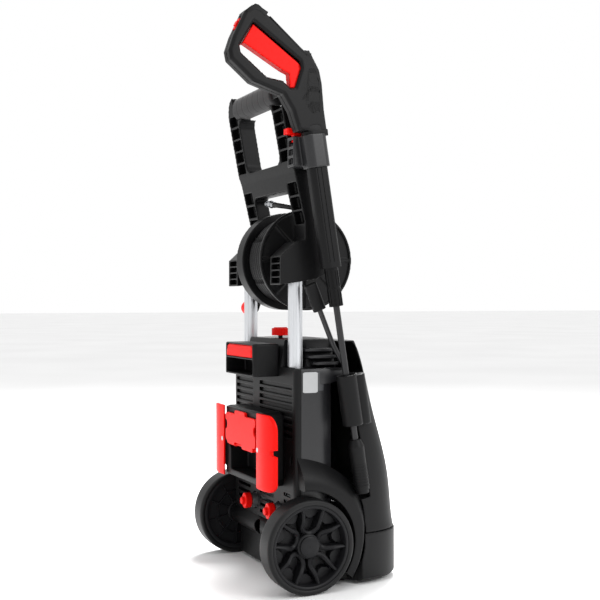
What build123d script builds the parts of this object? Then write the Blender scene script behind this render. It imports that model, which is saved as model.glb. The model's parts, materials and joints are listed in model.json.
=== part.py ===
"""Upright wheeled pressure washer: body shells, running gear, handle, hose reel, spray gun and lances.

Frame: millimetres, +Z up, ground at Z = 0, origin under the middle of the machine's outer box.
+Y is the user's side (handle, louvres, cable hooks), -Y is the front cover.
Left is -X and right is +X, as seen from the front.
"""
from build123d import *
import math
import os

os.makedirs("parts", exist_ok=True)

# ---------------------------------------------------------------- driving dimensions
FIT_GAP = 0.05            # running clearance of a shaft in its bore, radial
PART_GAP = 0.4            # gap between pieces that move past each other
WALL = 3.0                # moulded shell wall

# running gear
WHEEL_R = 79.0
WHEEL_W = 40.0
WHEEL_OUT = 180.0         # outer wheel face from the middle
TYRE_DEPTH = 9.0
AXLE_Y = 28.0
AXLE_R = 6.0
HUB_R = 18.0
HOUSING_R = 20.0          # axle carrier
WHEEL_SPOKES = 5          # looped spokes in each wheel
ARCH_GAP = 11.0           # wheel arch clearance round the tyre
FENDER_BAND = 21.0        # height of the arch band
FENDER_OUT = 163.0        # outer face of the wheel arch

# body shells
BASE_Z0 = 6.0
BASE_TOP = 88.0
BODY_HALF = 138.0         # side panels' outer faces
BODY_REAR = 39.0          # louvred rear face
SEAM_Y = -50.0            # seam between the rear half and the front cover
GROOVE_Y = -34.0          # front edge of the side panels, where a deep groove begins
GROOVE_DEPTH = 12.0
BODY_TOP = 376.0          # deck ledge
DECK_TOP = 420.0          # raised middle of the deck
BASE_FLANK = 160.0
FRONT_Y = -172.0
FLANK_STEP = 24.0         # depth of the recess where the front cover's flank meets the side panel
FRONT_STEPS = [(88, -171, 158), (160, -164, 152), (240, -147, 148), (311, -124, 145),
               (374, -107, 140), (418, -88, 132)]   # height, front edge, half-width of the front cover
FOOT_H = 6.0
FRONT_SLOT_Y = (-88.0, -74.0)    # lifting slot through the front cover's top corners
FRONT_SLOT_Z = (388.0, 410.0)

# cooling louvres: rows, height of the lowest slot, slots in each row
LOUVRE_PITCH = 12.0
LOUVRE_H = 5.5
UPPER_LOUVRES = (8, 253.0, ((-125, 15), (45, 125)))
LOWER_LOUVRES = (5, 104.0, ((-118, -90), (-48, 14), (58, 118)))

# aluminium tubes and handle
TUBE_R = 12.5
TUBE_BORE_R = 10.5
TUBE_X = 99.0
TUBE_Y = 21.0
TUBE_Z0 = 330.0
TUBE_Z1 = 572.0
HANDLE_HALF = 120.0
LEG_W = 45.0
HANDLE_TOP = 867.0
GRIP_H = 42.0             # height of the top bar
CROSSBAR_Z = (679.0, 725.0)
GRIP_HALF = 86.0          # soft sleeve on the top bar

# hose reel
REEL_Y = -22.0
REEL_Z = 560.0
REEL_R = 90.0
REEL_RIM_X = 56.0         # outer edge of both flange rims
REEL_LEFT_X = 49.0        # inner face of the left flange
REEL_RIGHT_X = 26.0       # inner face of the deeply dished right flange
REEL_CORE_R = 42.0
WIND_R = 80.0             # outside of the wound hose
HOSE_R = 4.6
REEL_AXLE_R = 7.0
CRANK_R = 90.0            # crank throw
CRANK_X = 125.0
CRANK_W = 9.0
KNOB_R = 13.0
KNOB_L = 30.0

# gun and lance, on one leaning axis
LANCE_X = -156.0
LANCE_FOOT = (-80.0, 158.0)      # y, z of the nozzle's tip
LANCE_LEAN = math.degrees(math.atan(0.159))
SLEEVE_Z = (543.0, 770.0)
SLEEVE_HALF_X = 15.0
SLEEVE_HALF_Y = 17.0
GRIP_HALF_X = 15.0
COLLAR_Z = (478.0, 543.0)
COLLAR_R = 12.0
ROD_R = 5.5
NOZZLE_R = 14.0
NOZZLE_TOP = 250.0
HOLSTER_Z = (275.0, 361.0)
HOLSTER_WALL = 2.5
HOLSTER_GAP = 1.0         # room round the nozzle in its socket
SPARE_X = -131.0
SPARE_ROD_R = 4.5
SPARE_PATH = [(-1.0, 493.0), (-36.0, 410.0), (-62.0, 366.0), (-74.0, 290.0)]   # y, z

# rear fittings
LIFT_REAR = 86.0
LIFT_TOP = 412.0
LIFT_HALF = 62.0          # half-width of the hand recess
HOLDER_Z = (165.0, 294.0)
HOLDER_HALF = 92.0
HOLDER_REAR = 73.0
HOOK_X = (83.0, 139.0)
HOOK_REAR = 86.0
HOOK_SWEEP = 10.0         # how far each hook's outer edge curves forward
PLUG_X = (36.0, -69.0)
PLUG_Z = 122.0
SWITCH_Y = 4.0            # main switch, on the raised middle of the deck
GLAND_Y = -10.0           # power cable gland in the right side panel
GLAND_Z = 250.0


# ---------------------------------------------------------------- helpers
def block(x0, x1, y0, y1, z0, z1):
    """Box between two corners."""
    return Pos((x0 + x1) / 2, (y0 + y1) / 2, (z0 + z1) / 2) * Box(abs(x1 - x0), abs(y1 - y0), abs(z1 - z0))


def soft_block(x0, x1, y0, y1, z0, z1, r, axis=Axis.Y):
    """Box with its edges along one axis rounded."""
    b = block(x0, x1, y0, y1, z0, z1)
    return fillet(b.edges().filter_by(axis), r)


def side_slab(points, x0, x1):
    """Outline in Y and Z, extruded from x0 to x1."""
    lo, hi = min(x0, x1), max(x0, x1)
    face = make_face(Polyline(*points, close=True))
    return extrude(Plane.YZ.offset(lo) * face, hi - lo)


def front_slab(face, y0, y1):
    """Face drawn in X and Z, extruded from y0 to y1."""
    return extrude(Plane(origin=(0, y0, 0), x_dir=(1, 0, 0), z_dir=(0, -1, 0)) * face, -(y1 - y0))


def rod_x(x0, x1, y, z, r):
    """Round bar along X."""
    return Pos((x0 + x1) / 2, y, z) * Rot(0, 90, 0) * Cylinder(r, abs(x1 - x0))


def rod_y(x, y0, y1, z, r):
    """Round bar along Y."""
    return Pos(x, (y0 + y1) / 2, z) * Rot(90, 0, 0) * Cylinder(r, abs(y1 - y0))


def both(shape):
    """A shape and its mirror image across the middle."""
    return shape + mirror(shape, about=Plane.YZ)


def lance_y(z):
    """Y of the gun and lance axis at a height."""
    return LANCE_FOOT[0] + (z - LANCE_FOOT[1]) * math.tan(math.radians(LANCE_LEAN))


def lance_place(z, x=LANCE_X):
    """Placement on the leaning lance axis, local Z along it."""
    return Pos(x, lance_y(z), z) * Rot(-LANCE_LEAN, 0, 0)


def lance_rod(z0, z1, r, r_top=None):
    """Round bar or cone on the lance axis between two heights."""
    length = (z1 - z0) / math.cos(math.radians(LANCE_LEAN))
    mid = (z0 + z1) / 2
    body = Cylinder(r, length) if r_top is None else Cone(r, r_top, length)
    return lance_place(mid) * body


def save(name, shape):
    """Write one sub-part."""
    solids = shape.solids()
    export_step(solids[0] if len(solids) == 1 else Compound(children=list(solids)), f"parts/{name}.step")
    print(f"{name:22s} {len(solids)} {sum(s.volume for s in solids) / 1000:9.1f} cm3")


# ---------------------------------------------------------------- running gear
def wheel():
    """Spoked wheel, axis along Z, outer face up, centred."""
    rim_r = WHEEL_R - TYRE_DEPTH
    half = WHEEL_W / 2
    ring = Cylinder(rim_r, WHEEL_W - 2) - Cylinder(rim_r - 7, WHEEL_W)
    hub = Pos(0, 0, -5) * Cylinder(HUB_R + 3, WHEEL_W - 16)
    web = Pos(0, 0, -7) * (Cylinder(rim_r - 3, 3.5))
    for k in range(WHEEL_SPOKES):
        a = 360 / WHEEL_SPOKES * k
        loop = Pos(0, 0, -11) * extrude(make_hull(
            (Pos(33, 0) * Circle(5) + Pos(56, 8) * Circle(5) + Pos(56, -8) * Circle(5)).edges()), 8)
        gap = Pos(0, 0, -11) * extrude(make_hull(
            (Pos(42, 0) * Circle(3) + Pos(58, 6) * Circle(4) + Pos(58, -6) * Circle(4)).edges()), 8)
        web -= Rot(0, 0, a) * loop
        web -= Rot(0, 0, a + 180 / WHEEL_SPOKES) * gap
    spokes = []
    for k in range(WHEEL_SPOKES):
        for side in (-1, 1):
            arc = ThreePointArc((HUB_R + 1.5, side * 3), (38, side * 15), (rim_r - 4, side * 17))
            rib = extrude(trace(arc, 5.5), half + 2)
            spokes.append(Rot(0, 0, 360 / WHEEL_SPOKES * k + 9) * Pos(0, 0, -9) * rib)
    body = ring + hub + web
    for rib in spokes:
        body += rib
    body -= Pos(0, 0, half + 2) * Cone(rim_r - 30, rim_r - 8, 12)
    body -= Cylinder(AXLE_R + FIT_GAP, WHEEL_W * 2)
    return body


def tyre():
    """Tread band with rounded shoulders, axis along Z."""
    r0, half = WHEEL_R - TYRE_DEPTH, WHEEL_W / 2
    band = Cylinder(WHEEL_R, WHEEL_W)
    band = fillet(band.edges().filter_by(GeomType.CIRCLE), 4)
    return band - Cylinder(r0, 2 * half + 2)


def hub_cap():
    """Shallow domed cap over the axle end, axis along Z."""
    cap = Pos(0, 0, WHEEL_W / 2 - 8) * Cylinder(HUB_R, 10)
    cap = fillet(cap.edges().filter_by(GeomType.CIRCLE).sort_by(Axis.Z)[-1:], 3)
    return cap - Pos(0, 0, WHEEL_W / 2 - 13) * Cylinder(AXLE_R + 3, 12)


def wheel_place(side):
    """Placement of a wheel: outer face out, on the left (-1) or right (+1)."""
    return Pos(side * (WHEEL_OUT - WHEEL_W / 2), AXLE_Y, WHEEL_R) * Rot(0, 90 * side, 0)


def axle():
    return rod_x(-WHEEL_OUT + 18, WHEEL_OUT - 18, AXLE_Y, WHEEL_R, AXLE_R)


def axle_housing():
    """Tubular axle carrier across the rear, with a round inspection hole to the rear."""
    half = WHEEL_OUT - WHEEL_W - 4
    tube = rod_x(-half, half, AXLE_Y, WHEEL_R, HOUSING_R)
    tube -= rod_x(-half + 4, half - 4, AXLE_Y, WHEEL_R, 16.5)
    tube -= rod_x(-half - 1, half + 1, AXLE_Y, WHEEL_R, AXLE_R)
    return tube - rod_y(6, AXLE_Y, AXLE_Y + 30, WHEEL_R, 13)


def arch_cut(r):
    """Cylinder about the axle that clears everything outboard of the body."""
    return both(rod_x(BODY_HALF, BASE_FLANK + 40, AXLE_Y, WHEEL_R, r))


def flare_outline():
    """Side outline of the wheel arch with the swept flare above it."""
    return [(36, BASE_TOP), (36, 222), (10, 219), (-14, 210), (-33, 198), (-49, 187), (-63, 177),
            (-76, 158), (-83, 130), (-86, BASE_TOP)]


def fender(side):
    """Wheel arch band with the flare that runs up into the side panel."""
    inner, outer = WHEEL_R + ARCH_GAP, WHEEL_R + ARCH_GAP + FENDER_BAND
    x0, x1 = side * BODY_HALF, side * FENDER_OUT
    band = rod_x(x0, x1, AXLE_Y, WHEEL_R, outer) - block(-200, 200, -200, AXLE_Y + 200, -60, 14)
    band -= block(-200, 200, AXLE_Y + 8, AXLE_Y + 200, -60, 300)
    shape = band + side_slab(flare_outline(), x0, x1)
    shape -= rod_x(x0 - side, x1 + side, AXLE_Y, WHEEL_R, inner)
    slope = [(side * (BODY_HALF - 1), 224), (side * (FENDER_OUT + 4), 180), (side * (FENDER_OUT + 4), 260),
             (side * (BODY_HALF - 1), 260)]
    cutter = front_slab(make_face(Polyline(*slope, close=True)), -200, 200)
    shape = shape - cutter - block(-200, 200, -200, AXLE_Y, -60, 14)
    if side < 0:
        shape -= lance_channel()
    return shape.solids().sort_by(SortBy.VOLUME)[-1]


# ---------------------------------------------------------------- body shells
def base_plan(inset):
    """Plan outline of the base, inset from the outer skin."""
    w, f, r = BASE_FLANK - inset, FRONT_Y + inset, AXLE_Y - inset
    n = BODY_HALF - 4 - inset
    line = Polyline((-w, -78), (-n, -60), (-n, r), (n, r), (n, -60), (w, -78))
    right = Bezier((w, -78), (w, -128), (w - 22, f), (86, f))
    left = Bezier((-w, -78), (-w, -128), (-w + 22, f), (-86, f))
    return make_face([line, right, left, Line((-86, f), (86, f))])


def base_tray():
    """Open-topped lower chassis with drain slots and the arch cut away at both wheels."""
    outer = Pos(0, 0, BASE_Z0) * extrude(base_plan(0), BASE_TOP - BASE_Z0)
    outer = chamfer(outer.edges().group_by(Axis.Z)[0].filter_by(GeomType.BEZIER) +
                    outer.edges().group_by(Axis.Z)[0].filter_by(Axis.X).sort_by(Axis.Y)[:1], 5)
    inner = Pos(0, 0, BASE_Z0 + WALL) * extrude(base_plan(WALL), BASE_TOP)
    tray = outer - inner - arch_cut(WHEEL_R + ARCH_GAP + FENDER_BAND)
    tray -= rod_x(-BODY_HALF, BODY_HALF, AXLE_Y, WHEEL_R, HOUSING_R)
    for x in range(-60, 61, 30):
        tray -= block(x - 8, x + 8, -60, -10, 0, 20)
    return tray.solids().sort_by(SortBy.VOLUME)[-1]


def feet():
    """Two rubber pads under the front of the base."""
    pad = Pos(86, -128, FOOT_H / 2) * Box(46, 26, FOOT_H)
    pad = fillet(pad.edges().filter_by(Axis.Z), 8)
    return both(pad)


def cover_plan(front, half, inset):
    """Plan outline of the front cover at one height."""
    w, f = half - inset, front + inset
    n = BODY_HALF - GROOVE_DEPTH - inset
    k = 0.52 * w
    step = SEAM_Y - FLANK_STEP
    bend = (step + f) / 2
    lines = [Line((-n, SEAM_Y), (n, SEAM_Y)), Line((n, SEAM_Y), (w, step)),
             Bezier((w, step), (w, bend), (w - 16, f), (k, f)),
             Line((k, f), (-k, f)),
             Bezier((-k, f), (-w + 16, f), (-w, bend), (-w, step)),
             Line((-w, step), (-n, SEAM_Y))]
    return make_face(lines)


def lance_channel():
    """Room along the left flank for the lance and its nozzle."""
    return lance_rod(146, 470, NOZZLE_R + 3.5)


def holster_blank():
    """Outer shape of the two lance sockets, before their bores."""
    z0, z1 = HOLSTER_Z
    mid = (z0 + z1) / 2
    length = (z1 - z0) / math.cos(math.radians(LANCE_LEAN))
    main = lance_rod(z0, z1, NOZZLE_R + HOLSTER_GAP + HOLSTER_WALL)
    tilt = Rot(-LANCE_LEAN, 0, 0)
    front = Pos(SPARE_X - 12, spare_y(mid) - 10, mid) * tilt * Cylinder(16, length)
    front += Pos(SPARE_X - 1, spare_y(mid), mid) * tilt * Box(22, 26, length)
    return main + front


def spare_y(z):
    """Y of the spare lance's lower run at a height."""
    return SPARE_PATH[3][0] + (z - SPARE_PATH[3][1]) * math.tan(math.radians(LANCE_LEAN))


def holster():
    """Twin lance socket on the left flank."""
    z0, z1 = HOLSTER_Z
    mid = (z0 + z1) / 2 + 8
    body = holster_blank() - lance_rod(z0 - 4, z1 + 4, NOZZLE_R + HOLSTER_GAP)
    body -= block(-BODY_HALF - 0.3, BODY_HALF, GROOVE_Y - 14, 0, z0 - 4, z1 + 4)
    bore = Pos(SPARE_X, spare_y(mid), mid) * Rot(-LANCE_LEAN, 0, 0) * Cylinder(SPARE_ROD_R + 2.2, z1 - z0)
    return body - bore


def spare_notch():
    """Open notch in the top corner of the flank for the spare lance."""
    return block(-200, SPARE_X + 13, -104, SEAM_Y + 1, HOLSTER_Z[1] - 1, DECK_TOP + 40)


def front_cover():
    """Tall curved front shell, open to the rear."""
    outer = loft([Pos(0, 0, z) * cover_plan(f, w, 0) for z, f, w in FRONT_STEPS])
    roof = FRONT_STEPS[-1]
    inner_steps = FRONT_STEPS[:-1] + [(roof[0] - WALL, roof[1] + 1, roof[2])]
    inner = loft([Pos(0, 0, z) * cover_plan(f, w, WALL) for z, f, w in inner_steps])
    floor = BODY_HALF - GROOVE_DEPTH
    inner += block(-floor + WALL, floor - WALL, SEAM_Y - 4, SEAM_Y + 1, BASE_TOP - 1, BODY_TOP)
    cover = outer - inner
    cover += both(block(floor - WALL, floor, SEAM_Y - 2, GROOVE_Y, BASE_TOP, BODY_TOP - 4))
    cover -= side_slab(flare_outline(), BODY_HALF, 200) + side_slab(flare_outline(), -200, -BODY_HALF)
    cover -= arch_cut(WHEEL_R + ARCH_GAP + FENDER_BAND)
    cover -= lance_channel()
    cover -= spare_notch()
    cover -= holster_blank()
    cover -= soft_block(-160, 160, *FRONT_SLOT_Y, *FRONT_SLOT_Z, 4, Axis.X)
    return cover.solids().sort_by(SortBy.VOLUME)[-1]


def rear_cover():
    """Louvred rear shell between the side panels."""
    outer = block(-BODY_HALF, BODY_HALF, SEAM_Y, BODY_REAR, BASE_TOP, BODY_TOP - 4)
    outer = fillet(outer.edges().filter_by(Axis.Z).group_by(Axis.Y)[-1], 9)
    shell = outer - block(-BODY_HALF + WALL, BODY_HALF - WALL, SEAM_Y - 1, BODY_REAR - WALL,
                          BASE_TOP - 1, BODY_TOP)
    shell -= block(-BODY_HALF - 1, BODY_HALF + 1, SEAM_Y - 1, BODY_REAR - 11, BASE_TOP - 1, BODY_TOP)
    for rows, z0, columns in UPPER_LOUVRES, LOWER_LOUVRES:
        for row in range(rows):
            z = z0 + row * LOUVRE_PITCH
            for x0, x1 in columns:
                shell -= block(x0, x1, BODY_REAR - 6, BODY_REAR + 2, z, z + LOUVRE_H)
    shell -= block(-124, -116, BODY_REAR - 6, BODY_REAR + 2, 209, 221)
    for x in PLUG_X:
        shell -= rod_y(x, BODY_REAR - 8, BODY_REAR + 4, PLUG_Z, 15)
    shell -= both(Pos(TUBE_X, TUBE_Y, 300) * Cylinder(TUBE_R + 0.01, 400))
    shell -= rod_x(-BODY_HALF - 1, BODY_HALF + 1, AXLE_Y, WHEEL_R, HOUSING_R)
    return shell.solids().sort_by(SortBy.VOLUME)[-1]


def side_panel(side):
    """Smooth side plate between rear shell and front cover."""
    x0, x1 = side * (BODY_HALF - WALL), side * BODY_HALF
    top = BODY_TOP - 4
    outline = [(BODY_REAR - 11, BASE_TOP), (BODY_REAR - 11, top), (GROOVE_Y, top), (GROOVE_Y, BASE_TOP)]
    plate = side_slab(outline, x0, x1)
    plate += block(side * (BODY_HALF - GROOVE_DEPTH), x1, GROOVE_Y, GROOVE_Y + WALL, BASE_TOP, top)
    plate -= rod_x(x0 - side, x1 + side, AXLE_Y, WHEEL_R, HOUSING_R)
    if side > 0:
        plate -= rod_x(x0 - 1, x1 + 1, GLAND_Y, GLAND_Z, 6.5)
    return plate.solids().sort_by(SortBy.VOLUME)[-1]


def tube_cut():
    """Clearance for both aluminium tubes through the deck."""
    return both(Pos(TUBE_X, TUBE_Y, 400) * Cylinder(TUBE_R, 400))


def deck_middle(rear, top, half, wall):
    """Raised middle of the deck, or its hollow when a wall is given."""
    outline = [(rear, BODY_TOP - 1 - wall), (rear, top - 22), (rear - 11, top - 8), (8, top), (-30, top + 2),
               (SEAM_Y + wall, top + 1), (SEAM_Y + wall, BODY_TOP - 1 - wall)]
    return side_slab(outline, -half, half)


def top_deck():
    """Stepped hollow deck: a raised middle with ledges that climb towards it from both sides."""
    w = BODY_HALF - 1
    deck = block(-w, w, SEAM_Y, BODY_REAR, BODY_TOP - 4, BODY_TOP)
    middle = deck_middle(BODY_REAR, DECK_TOP, 80, 0)
    deck += fillet(middle.edges().filter_by(Axis.X).group_by(Axis.Z)[-2:][0], 4)
    hollow = deck_middle(BODY_REAR - WALL, DECK_TOP - WALL, 80 - WALL, WALL + 1)
    for step in range(4):
        x1 = 124 - 9 * step
        y1 = -4 - 6 * step
        z1 = BODY_TOP + 10 * (step + 1)
        deck += soft_block(-x1, x1, SEAM_Y, y1, BODY_TOP - 1, z1, 3)
        hollow += block(-x1 + WALL, x1 - WALL, SEAM_Y - 1, y1 - WALL, BODY_TOP - 5, z1 - WALL)
    deck -= hollow
    deck -= tube_cut()
    deck -= Pos(0, SWITCH_Y, DECK_TOP) * Cylinder(9, 60)
    return deck.solids().sort_by(SortBy.VOLUME)[-1]


def lift_handle():
    """Box with a hand recess under its rear lip, for lifting the machine."""
    box = block(-69, 69, BODY_REAR, LIFT_REAR, 355, LIFT_TOP)
    box = fillet(box.edges().filter_by(Axis.Z).group_by(Axis.Y)[-1], 8)
    box = fillet(box.edges().group_by(Axis.Z)[-1].filter_by(Axis.X).group_by(Axis.Y)[-1], 3)
    box -= soft_block(-LIFT_HALF, LIFT_HALF, 47, LIFT_REAR + 4, 358, 384, 4)
    return box - lift_lip_space()


def lift_lip_space():
    """Seat of the coloured lip on the lift handle."""
    return block(-LIFT_HALF + 2, LIFT_HALF - 2, LIFT_REAR - 8, LIFT_REAR + 2, 387, LIFT_TOP - 3)


def lift_lip():
    """Coloured grip lip of the lift handle."""
    lip = block(-LIFT_HALF + 2, LIFT_HALF - 2, LIFT_REAR - 8, LIFT_REAR - 0.2, 387, LIFT_TOP - 3)
    return fillet(lip.edges().group_by(Axis.Y)[-1].filter_by(Axis.X), 2)


# ---------------------------------------------------------------- rear holder, hooks and plugs
def holder_box():
    """Accessory box on the rear, with an open pocket below its cover."""
    z0, z1 = HOLDER_Z
    box = block(-HOLDER_HALF, HOLDER_HALF, BODY_REAR, HOLDER_REAR, z0, z1)
    box = fillet(box.edges().filter_by(Axis.Y), 16)
    rail = block(HOOK_X[0] - 4, HOLDER_HALF - 2, HOLDER_REAR - 1, HOOK_REAR - 6, z0 + 18, z1 - 18)
    frame = block(-HOOK_X[0] + 1, HOOK_X[0] - 1, HOLDER_REAR - 1, HOOK_REAR - 8, z0 + 2, z1 - 2)
    body = box + both(rail) + frame
    body -= soft_block(-60, 60, BODY_REAR + WALL, HOOK_REAR, z0 + 13, z0 + 57, 5)
    body -= soft_block(-64, 64, BODY_REAR + WALL, HOOK_REAR, z0 + 64, z1 - 14, 5)
    body -= rod_x(-67, 67, HOOK_REAR - 9, z0 + 62, 2.5 + FIT_GAP)
    body -= block(-64, 64, HOOK_REAR - 16, HOOK_REAR, z0 + 53, z0 + 68)
    return body - both(rod_y(HOOK_X[0], HOLDER_REAR - 11, HOOK_REAR, hook_mid(), 2.2))


def hook_mid():
    """Height of the hooks' screws."""
    return (HOLDER_Z[0] + HOLDER_Z[1]) / 2 + 2


def cable_hook(side):
    """Tall cable hook: a rear plate with rounded outer corners and a notch in its outer edge."""
    z0, z1 = HOLDER_Z
    x0, x1 = HOOK_X
    mid = hook_mid()
    outline = [(x0, z0), (x1 - 12, z0), (x1, z0 + 24), (x1, mid - 7), (x1 - 9, mid - 4), (x1 - 9, mid + 4),
               (x1, mid + 7), (x1 - 4, z1 - 22), (x1 - 22, z1 - 3), (x0, z1)]
    low = HOOK_REAR - HOOK_SWEEP
    plan = [Line((x0, HOOK_REAR - 6), (x0, HOOK_REAR)), Line((x0, HOOK_REAR), (x0 + 18, HOOK_REAR)),
            Bezier((x0 + 18, HOOK_REAR), (x1 - 12, HOOK_REAR), (x1, low)), Line((x1, low), (x1 - 5, low - 2)),
            Bezier((x1 - 5, low - 2), (x1 - 16, HOOK_REAR - 6), (x0 + 18, HOOK_REAR - 6)),
            Line((x0 + 18, HOOK_REAR - 6), (x0, HOOK_REAR - 6))]
    sheet = Pos(0, 0, z0 - 1) * extrude(make_face(plan), z1 - z0 + 2)
    plate = sheet & front_slab(make_face(Polyline(*outline, close=True)), HOLDER_REAR - 4, HOOK_REAR + 4)
    plate += rod_y(x0 + 1, HOOK_REAR - 6, HOOK_REAR, mid, 7)
    plate -= rod_y(x0, HOOK_REAR - 9, HOOK_REAR + 3, mid, 2.2)
    plate -= rod_y(x0, HOOK_REAR - 2.4, HOOK_REAR + 3, mid, 4.2)
    lip = block(x0 + 26, x0 + 30, HOLDER_REAR + 0.2, HOOK_REAR - 4, z0 + 18, z1 - 22)
    piece = plate + lip
    return piece if side > 0 else mirror(piece, about=Plane.YZ)


def holder_cover():
    """Hinged cover over the accessory compartment, with a latch tab and two finger notches."""
    z0, z1 = HOLDER_Z
    low, high = z0 + 62, z1 - 12
    y0, y1 = HOOK_REAR - 7.6, HOOK_REAR - 2
    plate = soft_block(-70, 70, y0, y1, low + 4, high, 5)
    plate -= both(rod_y(71, y0 - 1, y1 + 1, (low + high) / 2 + 6, 9))
    plate += soft_block(-58, -8, y0, y1, low - 4, low + 10, 3)
    plate += soft_block(26, 62, y0, y1, low - 1, low + 10, 3)
    plate += soft_block(-22, 26, y0, y1, high - 6, high + 7, 3)
    knuckle = rod_x(-54, -12, HOOK_REAR - 9, low, 4.6) + rod_x(30, 62, HOOK_REAR - 9, low, 4.6)
    neck = block(-54, -12, HOOK_REAR - 9, y0 + 1, low - 2, low + 4) + block(30, 62, HOOK_REAR - 9, y0 + 1,
                                                                            low - 2, low + 4)
    return plate + knuckle + neck + rod_x(-66.6, 66.6, HOOK_REAR - 9, low, 2.5)


def plug(x):
    """Push-in port plug with an oval flange and a pull nub."""
    flange = Pos(x, BODY_REAR + 16, PLUG_Z) * Rot(90, 0, 0) * extrude(Ellipse(11, 14), 6, both=True)
    nub = rod_y(x, BODY_REAR + 20, BODY_REAR + 28, PLUG_Z, 7)
    nub = fillet(nub.edges().filter_by(GeomType.CIRCLE).sort_by(Axis.Y)[-1:], 2.5)
    stem = rod_y(x, BODY_REAR - 8, BODY_REAR + 12, PLUG_Z, 6.4)
    return flange + nub + stem





# ---------------------------------------------------------------- internals and top switch
def motor():
    """Universal motor: can, end bell and shaft, upright in the rear half."""
    can = Pos(0, -48, 250) * Cylinder(44, 130)
    can = chamfer(can.edges().filter_by(GeomType.CIRCLE), 4)
    can += Pos(0, -48, 330) * Cylinder(16, 34)
    return can + Pos(0, -48, 350) * Cylinder(5 - FIT_GAP, 26)


def cooling_fan():
    """Radial fan on top of the motor shaft."""
    fan = Pos(0, -48, 352) * Cylinder(40, 3)
    for k in range(9):
        fan += Pos(0, -48, 358) * Rot(0, 0, 40 * k) * Pos(25, 0, 0) * Box(28, 2.5, 14)
    fan -= Pos(0, -48, 350) * Cylinder(5, 60)
    return fan


def pump():
    """Axial pump head under the motor, with its inlet and outlet ports through the rear shell."""
    head = Pos(0, -48, 152) * Cylinder(38, 66)
    head = chamfer(head.edges().filter_by(GeomType.CIRCLE), 3)
    head += block(-84, 52, -38, BODY_REAR - 44, PLUG_Z - 14, PLUG_Z + 14)
    for k in range(3):
        head += Pos(0, -48, 152) * Rot(0, 0, 120 * k + 30) * Pos(36, 0, 0) * Cylinder(8, 60)
    for x in PLUG_X:
        head += rod_y(x, BODY_REAR - 45, BODY_REAR + 9, PLUG_Z, 13)
        head -= rod_y(x, BODY_REAR - 20, BODY_REAR + 12, PLUG_Z, 6.8)
    return head


def switch_box():
    """Sealed switch and capacitor box under the deck, with the knob's spindle."""
    box = soft_block(-38, 38, SWITCH_Y - 40, SWITCH_Y + 8, 393, DECK_TOP - 7, 6, Axis.Z)
    return box + Pos(0, SWITCH_Y, DECK_TOP) * Cylinder(4, 16)


def switch_knob():
    """Round ribbed main switch knob."""
    middle = Pos(0, SWITCH_Y, DECK_TOP + 11)
    knob = middle * Cylinder(16, 13)
    knob = fillet(knob.edges().filter_by(GeomType.CIRCLE).sort_by(Axis.Z)[-1:], 1.5)
    for k in range(18):
        knob -= middle * Rot(0, 0, 20 * k) * Pos(16.4, 0, 0) * Cylinder(1.1, 20)
    knob += middle * Pos(0, 0, 7) * Box(5, 24, 2)
    return knob - Pos(0, SWITCH_Y, DECK_TOP) * Cylinder(4 + FIT_GAP, 16.2)


def cable_gland():
    """Gland of the power cable, in the right side panel."""
    gland = rod_x(BODY_HALF - WALL - 4, BODY_HALF - WALL, GLAND_Y, GLAND_Z, 9)
    gland += rod_x(BODY_HALF - WALL - 1, BODY_HALF + 17, GLAND_Y, GLAND_Z, 6.5)
    gland += rod_x(BODY_HALF, BODY_HALF + 6, GLAND_Y, GLAND_Z, 9)
    return gland - rod_x(BODY_HALF - 20, BODY_HALF + 20, GLAND_Y, GLAND_Z, 3.6)


# ---------------------------------------------------------------- tubes and handle
def tube(side):
    """Fluted aluminium tube."""
    body = Cylinder(TUBE_R, TUBE_Z1 - TUBE_Z0) - Cylinder(TUBE_BORE_R, TUBE_Z1 - TUBE_Z0 + 2)
    for k in range(12):
        body -= Rot(0, 0, 30 * k + 15) * Pos(TUBE_R + 0.55, 0, 0) * Cylinder(1.1, TUBE_Z1 - TUBE_Z0 + 2)
    return Pos(side * TUBE_X, TUBE_Y, (TUBE_Z0 + TUBE_Z1) / 2) * body


def leg_profile():
    """Side outline of the leaning handle."""
    return [(-16, 588), (-16, 622), (4, 707), (18, 786), (30, 850), (33, HANDLE_TOP), (66, HANDLE_TOP),
            (62, 850), (50, 786), (38, 723), (32, 707), (12, 622), (12, 560)]


def handle_face():
    """Front outline of the handle: two legs, a crossbar and the top bar."""
    w, inner = HANDLE_HALF, HANDLE_HALF - LEG_W
    outer = Pos(0, (520 + HANDLE_TOP) / 2) * RectangleRounded(2 * w, HANDLE_TOP - 520, 40)
    under = HANDLE_TOP - GRIP_H
    window = Pos(0, (CROSSBAR_Z[1] + under) / 2) * RectangleRounded(2 * inner, under - CROSSBAR_Z[1], 18)
    lower = Pos(0, (440 + CROSSBAR_Z[0]) / 2) * RectangleRounded(2 * inner, CROSSBAR_Z[0] - 440, 12)
    return outer - window - lower


def sockets():
    """Tube sockets at the feet of the legs, with lugs that carry the reel axle."""
    w, inner = HANDLE_HALF, HANDLE_HALF - LEG_W
    body = side_slab([(58, 514), (58, 563), (30, 588), (-14, 596), (-14, 525)], inner, w)
    body = fillet(body.edges().filter_by(Axis.X).sort_by(Axis.Y)[-1:], 2)
    for k in range(4):
        z = 518 + 11.5 * k
        body -= block(inner + 5, w - 5, 44, 60, z, z + 8.5)
    lug = side_slab([(-12, 596), (-44, 578), (-44, 542), (-12, 526)], inner - 6, w)
    return both(body + lug)


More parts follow.
